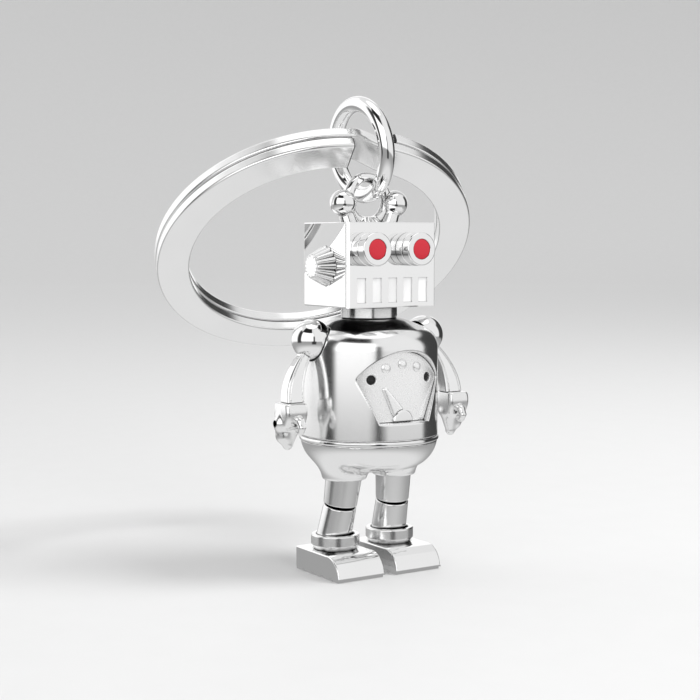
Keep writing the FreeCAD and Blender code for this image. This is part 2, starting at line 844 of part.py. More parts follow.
def facing(x, z, forward=0.0):
    """The Placement of a part that stands square on the panel with its own +Z outward."""
    angle = panel_turn(x)
    outward = Vector(math.sin(math.radians(angle)), -math.cos(math.radians(angle)), 0)
    spot = Vector(x, floor_depth(x), z) + outward * forward
    return Placement(spot, Rotation(Vector(0, 0, 1), angle) * Rotation(Vector(1, 0, 0), 90))


def screw_place(side):
    return side * value("screw_spread"), value("screw_level")


def gauge_screw_hole(name, side):
    """The room a gauge screw needs: its shank's hole and the counterbore over its head."""
    hole = doc.addObject("Part::Cylinder", "gauge_screw_hole_" + name)
    bind(hole, Radius="screw_shank + seat_gap", Height="screw_length + overrun")
    hole.Placement = facing(*screw_place(side), -value("screw_length + overrun"))
    head = doc.addObject("Part::Cylinder", "gauge_screw_sink_" + name)
    bind(head, Radius="screw_head + seat_gap", Height="screw_length")
    head.Placement = facing(*screw_place(side), -value("screw_sink"))
    return fuse("gauge_screw_room_" + name, hole, head)


def make_gauge_screws():
    """Two slotted screws whose heads clamp the dial plate from the bottom of their counterbores."""
    screws = []
    for name, side in SIDES:
        seat = -value("screw_sink")
        top = seat + value("screw_head_height")
        head = doc.addObject("Part::Cylinder", "gauge_screw_head_" + name)
        bind(head, Radius="screw_head", Height="screw_head_height")
        head.Placement = facing(*screw_place(side), seat)
        shank = doc.addObject("Part::Cylinder", "gauge_screw_shank_" + name)
        bind(shank, Radius="screw_shank", Height="screw_length - screw_sink")
        shank.Placement = facing(*screw_place(side), -value("screw_length"))
        slot = doc.addObject("Part::Box", "gauge_screw_slot_" + name)
        bind(slot, Length="2 * screw_head + 2 * overrun", Width="screw_slot",
             Height="screw_slot_depth + overrun")
        corner = Vector(-value("screw_head + overrun"), -value("screw_slot") / 2, 0)
        slot.Placement = facing(*screw_place(side), top - value("screw_slot_depth")).multiply(
            Placement(corner, Rotation()))
        screws.append(cut("gauge_screw_" + name, fuse("gauge_screw_blank_" + name, head, shank), slot))
    group = doc.addObject("Part::Compound", "gauge_screws_group")
    group.Links = screws
    return keep(group, "gauge_screws")


def make_gauge_lamps():
    """Three small domed lamps in an arc over the dial."""
    lamps = []
    places = ((-1, "lamp_level"), (0, "lamp_top_level"), (1, "lamp_level"))
    for index, (step, level) in enumerate(places, start=1):
        dome = doc.addObject("Part::Sphere", "gauge_lamp_ball_%d" % index)
        radius, height = value("lamp_radius"), value("lamp_height")
        ball = (radius * radius + height * height) / (2 * height)
        dome.Radius = ball
        place = (step * value("lamp_spread"), value(level))
        dome.Placement = facing(*place, height - ball)
        cap = doc.addObject("Part::Cylinder", "gauge_lamp_cap_%d" % index)
        bind(cap, Radius="2 * lamp_radius", Height="2 * lamp_height")
        cap.Placement = facing(*place, value("seat_gap") / 2)
        lamps.append(common("gauge_lamp_%d" % index, dome, cap))
    group = doc.addObject("Part::Compound", "gauge_lamps_group")
    group.Links = lamps
    return keep(group, "gauge_lamps")


def make_gauge_hub():
    """The half-round hub at the foot of the dial; the needle grows out of it."""
    drum = doc.addObject("Part::Cylinder", "gauge_hub_drum")
    bind(drum, Radius="hub_radius", Height="2 * hub_height")
    drum.Angle = 180.0
    drum.Placement = facing(0.0, value("hub_level"), -value("hub_height"))
    face = floor_cylinder("gauge_hub_floor", "floor_radius + seat_gap / 2")
    return keep(cut("gauge_hub_cut", drum, face), "gauge_hub")


def make_gauge_needle():
    """A tapered pointer that leans toward the robot's right."""
    needle = padded(
        "gauge_needle_body",
        [
            ("-needle_base", "hub_radius + needle_gap"),
            ("needle_base", "hub_radius + needle_gap"),
            ("needle_tip", "needle_length"),
            ("-needle_tip", "needle_length"),
        ],
        "needle_length",
    )
    needle.Placement = Placement(Vector(0, -value("fan_start"), value("hub_level")),
                                 Rotation(Vector(0, 1, 0), -value("needle_angle")) * ALONG_MINUS_Y)
    trimmed = common("needle_top", needle, floor_cylinder("needle_face", "floor_radius + needle_height"))
    face = floor_cylinder("gauge_needle_floor", "floor_radius + seat_gap / 2")
    hub_room = doc.addObject("Part::Cylinder", "needle_hub_room")
    bind(hub_room, Radius="hub_radius + seat_gap", Height="2 * hub_radius")
    hub_room.Placement = facing(0.0, value("hub_level"), -value("hub_radius"))
    return keep(cut("gauge_needle_cut", trimmed, face, hub_room), "gauge_needle")


def make_waist_band():
    """The thin belt between the barrel and the pelvis, rounded on its outside."""
    level = "torso_bottom - seat_gap / 2 - belt_height"
    band = spun(
        "waist_band_body",
        [
            ("belt_inner", level),
            ("belt_radius - belt_height / 3", level, "arc", "belt_radius", level + " + belt_height / 2"),
            ("belt_radius - belt_height / 3", level + " + belt_height"),
            ("belt_inner", level + " + belt_height"),
        ],
    )
    return keep(band, "waist_band")


# ---------------------------------------------------------------- neck

def make_neck():
    """The collar between head and torso, and the rivet and washer that let the head turn."""
    collar = spun(
        "neck_collar_body",
        [
            ("neck_pin_radius", "torso_top"),
            ("collar_radius - collar_edge", "torso_top"),
            ("collar_radius", "torso_top + collar_edge"),
            ("collar_radius", "head_bottom - running_gap - collar_edge"),
            ("collar_radius - collar_edge", "head_bottom - running_gap"),
            ("neck_pin_radius", "head_bottom - running_gap"),
        ],
    )
    keep(collar, "neck_collar")
    floor = "head_bottom + head_wall"
    pin = spun(
        "neck_pin_body",
        [
            ("0", "neck_pin_bottom"),
            ("neck_flange", "neck_pin_bottom"),
            ("neck_flange", "well_top"),
            ("neck_pin_radius", "well_top"),
            ("neck_pin_radius", floor + " + washer_height + 2 * running_gap"),
            ("neck_head", floor + " + washer_height + 2 * running_gap"),
            ("neck_head - neck_head_bevel", floor + " + washer_height + neck_head_height"),
            ("0", floor + " + washer_height + neck_head_height"),
        ],
    )
    keep(pin, "neck_pin")
    washer = spun(
        "neck_washer_body",
        [
            ("neck_pin_radius + running_gap", floor + " + running_gap"),
            ("washer_radius", floor + " + running_gap"),
            ("washer_radius", floor + " + running_gap + washer_height"),
            ("neck_pin_radius + running_gap", floor + " + running_gap + washer_height"),
        ],
    )
    keep(washer, "neck_washer")


# ---------------------------------------------------------------- arms

def make_shoulder(name, side):
    """Ball, its pin through the shoulder and the clip that holds it from inside."""
    outward = Rotation(Vector(0, 1, 0), 90 * side)
    ball = primitive("Sphere", "shoulder_sphere_" + name, Radius="shoulder_ball",
                     Base_x=sided("shoulder_spread", side), Base_z="shoulder_level")
    inner = "shoulder_spread - shoulder_ball + pin_depth_in_ball"
    bore = primitive("Cylinder", "shoulder_bore_" + name, outward, Radius="shoulder_pin",
                     Height=inner + " - pin_inner_end", Base_x=sided("pin_inner_end", side),
                     Base_z="shoulder_level")
    keep(cut("shoulder_ball_%s_cut" % name, ball, bore), "shoulder_ball_" + name)
    pin = primitive("Cylinder", "shoulder_pin_%s_rod" % name, outward, Radius="shoulder_pin",
                    Height=inner + " - pin_inner_end", Base_x=sided("pin_inner_end", side),
                    Base_z="shoulder_level")
    keep(pin, "shoulder_pin_" + name)
    clip_place = {"Base_x": sided("well_radius - clip_height - clip_gap", side), "Base_z": "shoulder_level"}
    disc = primitive("Cylinder", "shoulder_clip_disc_" + name, outward, Radius="clip_radius",
                     Height="clip_height", **clip_place)
    hole = primitive("Cylinder", "shoulder_clip_hole_" + name, outward, Radius="shoulder_pin",
                     Height="clip_height", **clip_place)
    keep(cut("shoulder_clip_%s_cut" % name, disc, hole), "shoulder_clip_" + name)


def ellipse(name, x, y, z, half_width, half_depth):
    """A level ellipse whose long half axis lies fore and aft."""
    item = doc.addObject("Part::Ellipse", name)
    item.Placement = Placement(Vector(0, 0, 0), Rotation(Vector(0, 0, 1), 90))
    bind(item, MajorRadius=half_depth, MinorRadius=half_width, Base_x=x, Base_y=y, Base_z=z)
    return item


def lofted(name, sections):
    item = doc.addObject("Part::Loft", name)
    item.Sections = sections
    item.Solid = True
    return item


def make_arm(name, side):
    """The bowed arm from the ball's lower side to the wrist."""
    bar = lofted("arm_bar_" + name, [
        ellipse("arm_top_" + name, sided("arm_top_x", side), "arm_top_y", "arm_top_level",
                "arm_top_half_width", "arm_top_half_depth"),
        ellipse("arm_mid_" + name, sided("arm_mid_x", side), "arm_mid_y", "arm_mid_level",
                "arm_mid_half_width", "arm_mid_half_depth"),
        ellipse("arm_wrist_" + name, sided("wrist_x", side), "wrist_y", "wrist_level + seat_gap",
                "wrist_half_width", "wrist_half_depth"),
    ])
    room = primitive("Sphere", "arm_ball_room_" + name, Radius="shoulder_ball + seat_gap / 2",
                     Base_x=sided("shoulder_spread", side), Base_z="shoulder_level")
    return keep(cut("arm_%s_cut" % name, bar, room), "arm_" + name)


def make_hand(name, side):
    """A cuff, one long tapered finger and a short curled thumb at the front."""
    x = sided("hand_x", side)
    knuckles = "wrist_level - cuff_height"
    cuff = lofted("cuff_" + name, [
        ellipse("cuff_rim_" + name, x, "hand_y", "wrist_level", "cuff_half_width", "cuff_half_depth"),
        ellipse("cuff_waist_" + name, x, "hand_y", "wrist_level - cuff_height / 2",
                "cuff_half_width", "cuff_half_depth + cuff_swell"),
        ellipse("cuff_foot_" + name, x, "hand_y + palm_back", knuckles,
                "palm_half_width", "palm_half_depth"),
    ])
    finger_place = {"Base_x": x, "Base_y": "hand_y + finger_back"}
    finger = primitive("Cone", "finger_" + name, DOWNWARD, Radius1="finger_radius", Radius2="finger_tip",
                       Height="finger_length - finger_tip", Base_z=knuckles + " + finger_root",
                       **finger_place)
    tip = primitive("Sphere", "finger_end_" + name, Radius="finger_tip",
                    Base_z=knuckles + " + finger_root - finger_length + finger_tip", **finger_place)
    forward = Rotation(Vector(1, 0, 0), 180 - value("thumb_lean"))
    thumb = primitive("Cone", "thumb_" + name, forward, Radius1="thumb_root", Radius2="thumb_neck",
                      Height="thumb_length", Base_x=x, Base_y="hand_y - thumb_front",
                      Base_z="wrist_level - thumb_start")
    end = primitive("Sphere", "thumb_end_" + name, Radius="thumb_end", Base_x=x,
                    Base_y="hand_y - thumb_end_front", Base_z="wrist_level - thumb_end_drop")
    return keep(fuse("hand_%s_fuse" % name, cuff, finger, tip, thumb, end), "hand_" + name)


# ---------------------------------------------------------------- pelvis and legs

def direction(lean, splay, side):
    """The downward direction of a leg length that leans back and splays outward."""
    back = math.radians(value(lean))
    out = math.radians(value(splay)) * side
    return Vector(math.sin(out), math.cos(out) * math.sin(back), -math.cos(out) * math.cos(back))


def along(start, heading):
    """The Placement of a part whose own +Z runs along the heading from the start."""
    return Placement(start, Rotation(Vector(0, 0, 1), heading))


def hip_centre(side):
    return Vector(side * value("hip_spread"), value("hip_y"), value("hip_level"))


def knee_centre(side):
    return hip_centre(side) + direction("hip_lean", "hip_splay", side) * value("thigh_length")


def make_pelvis():
    """The bowl under the belt with two round hip bosses, each with a ball-shaped socket."""
    rim = "torso_bottom - seat_gap - belt_height"
    bowl = spun(
        "pelvis_bowl",
        [
            ("0", "bowl_bottom"),
            ("torso_radius - 2.9", "bowl_bottom + 0.08", "arc",
             "torso_radius - 0.84", "bowl_bottom + 1.07"),
            ("torso_radius - 0.04", rim),
            ("belt_inner - seat_gap", rim),
            ("belt_inner - seat_gap", rim + " + spigot_height"),
            ("0", rim + " + spigot_height"),
        ],
    )
    bosses = sketch(bowl, "pelvis_bosses", "XY_Plane", "boss_bottom")
    for name, side in SIDES:
        circle(bosses, sided("hip_spread", side), "hip_y", "boss_radius")
    pad = bowl.newObject("PartDesign::Pad", "pelvis_boss_pad")
    pad.Profile = bosses
    pad.setExpression("Length", linked("bowl_bottom - boss_bottom + boss_rise"))
    pad.setExpression("TaperAngle", linked("boss_taper"))
    bowl.Tip = pad
    doc.recompute()
    lowest = value("boss_bottom")
    dress(bowl, "Fillet", "boss_round", lambda edge: at(edge, z=lowest))
    tools = []
    for name, side in SIDES:
        centre = hip_centre(side)
        tools.append(primitive("Sphere", "hip_socket_" + name, Radius="thigh_radius + socket_gap",
                               Base_x=sided("hip_spread", side), Base_y="hip_y", Base_z="hip_level"))
        for step in (-1.0, -0.5, 0.0, 0.5, 1.0):
            swing = Rotation(Vector(1, 0, 0), step * value("hip_travel"))
            sleeve = doc.addObject("Part::Cylinder", "hip_sleeve_%s_%d" % (name, 10 + 2 * step))
            bind(sleeve, Radius="thigh_radius + socket_gap", Height="hip_sleeve")
            sleeve.Placement = along(centre, swing.multVec(direction("hip_lean", "hip_splay", side)))
            tools.append(sleeve)
        tools.append(primitive("Cylinder", "hip_pin_bore_" + name, Rotation(Vector(0, 1, 0), 90 * side),
                               Radius="hip_pin_radius", Base_y="hip_y", Base_z="hip_level",
                               Height="hip_pin_inner + hip_pin_outer + hip_pin_entry",
                               Base_x=sided("hip_spread - hip_pin_inner - hip_pin_entry", side)))
    return keep(cut("pelvis_cut", bowl, *tools), "pelvis")


def make_leg(name, side):
    """Hip pin, thigh, shin and ankle cuff of one leg."""
    down = direction("hip_lean", "hip_splay", side)
    hip = hip_centre(side)
    knee = knee_centre(side)
    keep(primitive("Cylinder", "hip_pin_%s_rod" % name, Rotation(Vector(0, 1, 0), 90 * side),
                   Radius="hip_pin_radius", Height="hip_pin_inner + hip_pin_outer", Base_y="hip_y",
                   Base_z="hip_level", Base_x=sided("hip_spread - hip_pin_inner", side)),
         "hip_pin_" + name)

    ball = primitive("Sphere", "thigh_ball_" + name, Radius="thigh_radius",
                     Base_x=sided("hip_spread", side), Base_y="hip_y", Base_z="hip_level")
    shaft = doc.addObject("Part::Cone", "thigh_shaft_" + name)
    bind(shaft, Radius1="thigh_radius", Radius2="knee_radius", Height="thigh_length")
    shaft.Placement = along(hip, down)
    bore = primitive("Cylinder", "thigh_bore_" + name, ALONG_X, Radius="hip_pin_radius + running_gap",
                     Height="4 * thigh_radius", Base_y="hip_y", Base_z="hip_level",
                     Base_x=sided("hip_spread", side) + " - 2 * thigh_radius")
    shin_down = direction("shin_lean", "shin_splay", side)
    mortise = doc.addObject("Part::Cylinder", "knee_mortise_" + name)
    bind(mortise, Radius="knee_tenon + seat_gap", Height="knee_tenon_length + 2 * knee_room")
    mortise.Placement = along(knee + shin_down * value("knee_room"), shin_down * -1)
    blank = fuse("thigh_blank_" + name, ball, shaft)
    keep(cut("thigh_%s_cut" % name, blank, bore, mortise), "thigh_" + name)

    seat = value("ankle_seat")
    length = (knee.z - seat) / -shin_down.z + value("shin_overlap")
    shank = doc.addObject("Part::Cone", "shin_shank_" + name)
    bind(shank, Radius1="shin_top_radius", Radius2="shin_foot_radius")
    shank.Height = length
    shank.Placement = along(knee + shin_down * value("knee_gap"), shin_down)
    tenon = doc.addObject("Part::Cylinder", "knee_tenon_" + name)
    bind(tenon, Radius="knee_tenon", Height="knee_tenon_length + knee_gap")
    tenon.Placement = along(knee + shin_down * value("knee_gap + knee_tenon_root"), shin_down * -1)
    ground = primitive("Box", "shin_trim_" + name, Length="trim_size", Width="trim_size",
                       Height="trim_height", Base_x=sided("ankle_x", side) + " - trim_size / 2",
                       Base_y="ankle_y - trim_size / 2", Base_z="ankle_seat - trim_height")
    ankle = {"Base_x": sided("ankle_x", side), "Base_y": "ankle_y"}
    peg = primitive("Cylinder", "ankle_peg_" + name, Radius="ankle_tenon",
                    Height="ankle_seat - ankle_tenon_end + overrun", Base_z="ankle_tenon_end", **ankle)
    keep(fuse("shin_%s_fuse" % name, cut("shin_trimmed_" + name, shank, ground), tenon, peg),
         "shin_" + name)

    cuff = spun(
        "ankle_cuff_%s_body" % name,
        [
            ("ankle_tenon + seat_gap", "foot_top + seat_gap / 2"),
            ("ankle_under", "foot_top + seat_gap / 2"),
            ("ankle_radius", "ankle_level - ankle_rim"),
            ("ankle_radius", "ankle_level - ankle_edge"),
            ("ankle_radius - ankle_edge", "ankle_level"),
            ("ankle_pocket", "ankle_level"),
            ("ankle_pocket", "ankle_seat - seat_gap / 2"),
            ("ankle_tenon + seat_gap", "ankle_seat - seat_gap / 2"),
        ],
    )
    bind(cuff, **ankle)
    keep(cuff, "ankle_cuff_" + name)


def make_foot(name, side):
    """A flat-topped shoe with a rounded toe, a thin welt at its front foot and a treaded sole."""
    shoe = padded(
        "foot_%s_body" % name,
        [
            ("-foot_front", "tread_height"),
            ("foot_back", "tread_height"),
            ("foot_back", "foot_top"),
            ("-foot_toe_start", "foot_top", "arc",
             "-foot_front + toe_arc_back", "foot_top - toe_arc_drop"),
            ("-foot_front + foot_lip_step", "foot_lip"),
            ("-foot_front", "foot_lip"),
        ],
        "foot_outer - foot_inner",
        role="YZ_Plane",
    )
    start = "foot_inner" if side > 0 else "-foot_outer"
    bind(shoe, Base_x=start)
    welt = value("foot_lip + overrun")
    dress(shoe, "Fillet", "foot_edge", lambda edge: edge.BoundBox.Center.z > welt)
    treads = []
    for index in range(TREADS):
        treads.append(primitive("Box", "tread_%s_%d" % (name, index + 1),
                                Length="foot_outer - foot_inner - 2 * tread_inset",
                                Width="tread_width", Height="tread_height", Base_x=start + " + tread_inset",
                                Base_y="-tread_front + %d * tread_pitch" % index))
    socket = primitive("Cylinder", "foot_socket_" + name, Radius="ankle_tenon + seat_gap",
                       Height="foot_top", Base_x=sided("ankle_x", side), Base_y="ankle_y",
                       Base_z="ankle_tenon_end - seat_gap")
    blank = fuse("foot_blank_" + name, shoe, *treads)
    return keep(cut("foot_%s_cut" % name, blank, socket), "foot_" + name)


# ---------------------------------------------------------------- build and export

make_head_shell()
make_face_plate()
make_teeth()
make_hanging_eye()
make_eye_nut()
make_connector_ring()
make_split_ring()
make_torso_shell()
make_waist_band()
make_gauge_panel()
make_gauge_screws()
make_gauge_lamps()
make_gauge_hub()
make_gauge_needle()
make_neck()
make_pelvis()
for side_name, side_sign in SIDES:
    make_eye(side_name, side_sign)
    make_ear_knob(side_name, side_sign)
    make_antenna(side_name, side_sign)
    make_shoulder(side_name, side_sign)
    make_arm(side_name, side_sign)
    make_hand(side_name, side_sign)
    make_leg(side_name, side_sign)
    make_foot(side_name, side_sign)

doc.recompute()
faults = [item.Name for item in doc.Objects if "Invalid" in item.State or "Error" in item.State]
faults += [item.Label for item in parts if item.Shape.isNull() or not item.Shape.isValid()]
if faults:
    raise RuntimeError("failed: " + ", ".join(faults))
for item in parts:
    item.Shape.exportStep(os.path.join("parts", item.Label + ".step"))
    print("%-22s solids %d  volume %8.3f" % (item.Label, len(item.Shape.Solids), item.Shape.Volume))
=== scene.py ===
import math

import bpy
import numpy as np
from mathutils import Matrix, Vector


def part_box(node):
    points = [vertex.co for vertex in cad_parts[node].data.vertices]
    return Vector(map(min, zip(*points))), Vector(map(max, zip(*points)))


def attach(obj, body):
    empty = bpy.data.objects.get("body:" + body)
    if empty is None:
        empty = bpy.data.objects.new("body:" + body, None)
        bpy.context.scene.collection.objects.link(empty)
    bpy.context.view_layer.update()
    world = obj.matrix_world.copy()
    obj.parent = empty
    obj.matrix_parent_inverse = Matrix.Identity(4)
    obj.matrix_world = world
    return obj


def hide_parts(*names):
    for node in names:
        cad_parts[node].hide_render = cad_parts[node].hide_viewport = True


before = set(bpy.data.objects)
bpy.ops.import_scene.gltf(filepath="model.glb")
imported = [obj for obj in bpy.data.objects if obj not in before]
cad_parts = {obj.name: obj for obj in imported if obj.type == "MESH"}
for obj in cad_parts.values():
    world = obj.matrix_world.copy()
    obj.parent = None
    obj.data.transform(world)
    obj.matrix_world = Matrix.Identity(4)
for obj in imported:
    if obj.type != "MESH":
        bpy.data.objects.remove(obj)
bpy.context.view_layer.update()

# Polished robot charm on a split ring.  Shapes are worked out in millimetres in the CAD
# frame (+Z up, the robot faces -Y) and scaled to metres when a mesh is made.

MM = 0.001
SIDES = (("left", 1), ("right", -1))
PLACES = {}


# ---------------------------------------------------------------- measures from the CAD

class Extent:
    """A CAD node's box at rest, in millimetres."""

    def __init__(self, node):
        low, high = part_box(node)
        self.low = np.array(low) / MM
        self.high = np.array(high) / MM
        self.mid = (self.low + self.high) / 2
        self.size = self.high - self.low


def extent(node):
    if node not in PLACES:
        PLACES[node] = Extent(node)
    return PLACES[node]


def unit(vector):
    vector = np.asarray(vector, float)
    return vector / np.linalg.norm(vector)


def unit_rows(rows):
    return rows / np.linalg.norm(rows, axis=1, keepdims=True)


# ---------------------------------------------------------------- meshes

def piece(name, body, nodes, points, faces, normals, material):
    """One visible piece that stands for CAD nodes and moves with their body."""
    mesh = bpy.data.meshes.new(name)
    mesh.from_pydata((points * MM).tolist(), [], faces)
    mesh.shade_smooth()
    mesh.normals_split_custom_set_from_vertices(normals.tolist())
    mesh.materials.append(material)
    item = bpy.data.objects.new(name, mesh)
    bpy.context.scene.collection.objects.link(item)
    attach(item, body)
    if nodes:
        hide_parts(*nodes)
    return item


def gradient(field, points, reach):
    """The field's slope at each point, by central differences."""
    slope = np.empty_like(points)
    for axis in range(3):
        step = np.zeros(3)
        step[axis] = reach
        slope[:, axis] = (field(*(points + step).T) - field(*(points - step).T)) / (2 * reach)
    return slope


def skin(field, low, high, step):
    """The surface field = 0 inside a box as quads, with every vertex pulled onto the surface."""
    axes = [np.arange(a - step, b + 2 * step, step) for a, b in zip(low, high)]
    inside = field(*np.meshgrid(*axes, indexing="ij")) < 0
    count = np.zeros([n - 1 for n in inside.shape], int)
    for corner in np.ndindex(2, 2, 2):
        window = tuple(slice(c, c + n) for c, n in zip(corner, count.shape))
        count += inside[window]
    active = (count > 0) & (count < 8)
    index = np.full(active.shape, -1)
    index[active] = np.arange(active.sum())
    cells = np.argwhere(active)
    points = np.stack([axes[k][cells[:, k]] + step / 2 for k in range(3)], 1)

    faces = []
    for axis in range(3):
        state = np.moveaxis(inside, axis, 0)
        cell = np.moveaxis(index, axis, 0)
        i, j, k = np.nonzero(state[:-1, 1:-1, 1:-1] != state[1:, 1:-1, 1:-1])
        j, k = j + 1, k + 1
        quads = np.stack([cell[i, j - 1, k - 1], cell[i, j, k - 1], cell[i, j, k],
                          cell[i, j - 1, k]], 1)
        outward = state[i, j, k] if axis != 1 else ~state[i, j, k]
        quads[~outward] = quads[~outward][:, ::-1]
        faces.append(quads)

    for _ in range(7):
        slope = gradient(field, points, step * 0.05)
        shift = (field(*points.T) / np.maximum((slope ** 2).sum(1), 0.05))[:, None] * slope
        length = np.linalg.norm(shift, axis=1, keepdims=True)
        points -= shift * np.minimum(1, 0.4 * step / np.maximum(length, 1e-9))
    slope = gradient(field, points, step * 0.25)
    normals = slope / np.maximum(np.linalg.norm(slope, axis=1, keepdims=True), 1e-9)
    return points, np.concatenate(faces).tolist(), normals


def sheet(points, normals, wrap_rows=False, wrap_columns=True, poles=()):
    """A grid of points as faces that look along their normals; pole rows close to one vertex."""
    rows, columns = points.shape[:2]
    index = np.arange(rows * columns).reshape(rows, columns)
    for row in poles:
        index[row, :] = index[row, 0]
    if wrap_rows:
        index = np.vstack([index, index[:1]])
    if wrap_columns:
        index = np.hstack([index, index[:, :1]])
    quads = np.stack([index[:-1, :-1], index[:-1, 1:], index[1:, 1:], index[1:, :-1]], -1)
    quads = quads.reshape(-1, 4)
    flat, flat_normals = points.reshape(-1, 3), normals.reshape(-1, 3)
    corners = flat[quads]
    across = np.cross(corners[:, 2] - corners[:, 0], corners[:, 3] - corners[:, 1])
    if (across * flat_normals[quads].sum(1)).sum() < 0:
        quads = quads[:, ::-1]
    used, packed = np.unique(quads, return_inverse=True)
    packed = packed.reshape(quads.shape)
    faces = []
    for quad in packed.tolist():
        ring = [v for k, v in enumerate(quad) if v != quad[k - 1]]
        if len(ring) > 2:
            faces.append(ring)
    return flat[used], faces, flat_normals[used]


def fillets(corners, closed=False, steps=6):
    """Points and normals of an outline of (across, along, radius) corners, each corner rounded."""
    corners = [np.array(c, float) for c in corners]
    total = len(corners)
    points, normals = [], []
    for k, corner in enumerate(corners):
        here = corner[:2]
        if not closed and k in (0, total - 1):
            other = corners[1 if k == 0 else -2][:2]
            way = unit(other - here) if k == 0 else unit(here - other)
            points.append(here)
            normals.append([way[1], -way[0]])
            continue
        before = unit(here - corners[k - 1][:2])
        after = unit(corners[(k + 1) % total][:2] - here)
        turn = math.atan2(before[0] * after[1] - before[1] * after[0], before @ after)
        sign = 1 if turn > 0 else -1
        radius = max(corner[2], 0.01)
        start = here - before * radius * abs(math.tan(turn / 2))
        normal = np.array([before[1], -before[0]])
        centre = start - sign * radius * normal
        for step in range(steps + 1):
            angle = turn * step / steps
            turned = np.array([normal[0] * math.cos(angle) - normal[1] * math.sin(angle),
                               normal[0] * math.sin(angle) + normal[1] * math.cos(angle)])
            points.append(centre + sign * radius * turned)
            normals.append(turned)
    return np.array(points), np.array(normals)


def lathe(origin, axis, corners, closed=False, segments=120, steps=6):
    """A turned piece: the outline (radius, distance along the axis, fillet) about an axis."""
    axis = unit(axis)
    first = unit(np.cross(axis, (0.0, 1.0, 0.0) if abs(axis[1]) < 0.9 else (1.0, 0.0, 0.0)))
    second = np.cross(axis, first)
    outline, slopes = fillets(corners, closed, steps)
    turns = np.linspace(0, 2 * math.pi, segments, endpoint=False)
    around = np.cos(turns)[:, None] * first + np.sin(turns)[:, None] * second
    points = (np.asarray(origin) + outline[:, 0, None, None] * around[None]
              + outline[:, 1, None, None] * axis)
    normals = slopes[:, 0, None, None] * around[None] + slopes[:, 1, None, None] * axis
    poles = [] if closed else [k for k in (0, len(outline) - 1) if outline[k, 0] < 1e-6]
    return sheet(points, normals, wrap_rows=closed, poles=poles)


# ---------------------------------------------------------------- distance fields

def soft_max(a, b, reach):
    """The larger of two fields, with the edge where they meet rounded."""
    share = np.clip(0.5 + 0.5 * (a - b) / reach, 0, 1)
    return b * (1 - share) + a * share + reach * share * (1 - share)


def soft_min(a, b, reach):
    """The smaller of two fields, with the inner corner where they meet filled."""
    return -soft_max(-a, -b, reach)


def ball(x, y, z, centre, radius):
    return np.sqrt((x - centre[0]) ** 2 + (y - centre[1]) ** 2 + (z - centre[2]) ** 2) - radius


def rod(x, y, z, start, end, first, last):
    """A round rod whose radius changes evenly from the first to the last."""
    start, end = np.asarray(start, float), np.asarray(end, float)
    way = end - start
    share = ((x - start[0]) * way[0] + (y - start[1]) * way[1] + (z - start[2]) * way[2]) / (way @ way)
    share = np.clip(share, 0, 1)
    away = np.sqrt((x - start[0] - share * way[0]) ** 2 + (y - start[1] - share * way[1]) ** 2
                   + (z - start[2] - share * way[2]) ** 2)
    return away - (first + (last - first) * share)


def rod_chain(x, y, z, spots, radii, reach):
    """A bent rod through several spots."""
    field = None
    for k in range(len(spots) - 1):
        part = rod(x, y, z, spots[k], spots[k + 1], radii[k], radii[k + 1])
        field = part if field is None else soft_min(field, part, reach)
    return field


def through(levels, values, z):
    """The smooth curve through three given values at three levels."""
    (a, b, c), (p, q, r) = levels, values
    return (p * (z - b) * (z - c) / ((a - b) * (a - c)) + q * (z - a) * (z - c) / ((b - a) * (b - c))
            + r * (z - a) * (z - b) / ((c - a) * (c - b)))


# ---------------------------------------------------------------- materials

class Nodes:
    """Shorthand for building a node tree."""

    def __init__(self, tree):
        self.tree = tree
        self.tree.nodes.clear()

    def add(self, kind, inputs=None, **settings):
        node = self.tree.nodes.new(kind)
        for key, value in settings.items():
            setattr(node, key, value)
        for key, value in (inputs or {}).items():
            if isinstance(value, bpy.types.NodeSocket):
                self.tree.links.new(value, node.inputs[key])
            else:
                node.inputs[key].default_value = value
        return node

    def math(self, operation, a, b=0.0):
        return self.add("ShaderNodeMath", {0: a, 1: b}, operation=operation).outputs[0]

    def fade(self, value, low, high, to_low=0.0, to_high=1.0):
        """A smooth step from to_low to to_high as the value goes from low to high."""
        node = self.add("ShaderNodeMapRange", {"Value": value, "From Min": low, "From Max": high,
                                               "To Min": to_low, "To Max": to_high},
                        interpolation_type="SMOOTHSTEP")
        return node.outputs[0]

    def mix(self, share, a, b):
        node = self.add("ShaderNodeMix", {0: share, 6: a, 7: b}, data_type="RGBA")
        return node.outputs[2]

    def blend(self, share, a, b):
        return self.add("ShaderNodeMix", {0: share, 2: a, 3: b}).outputs[0]


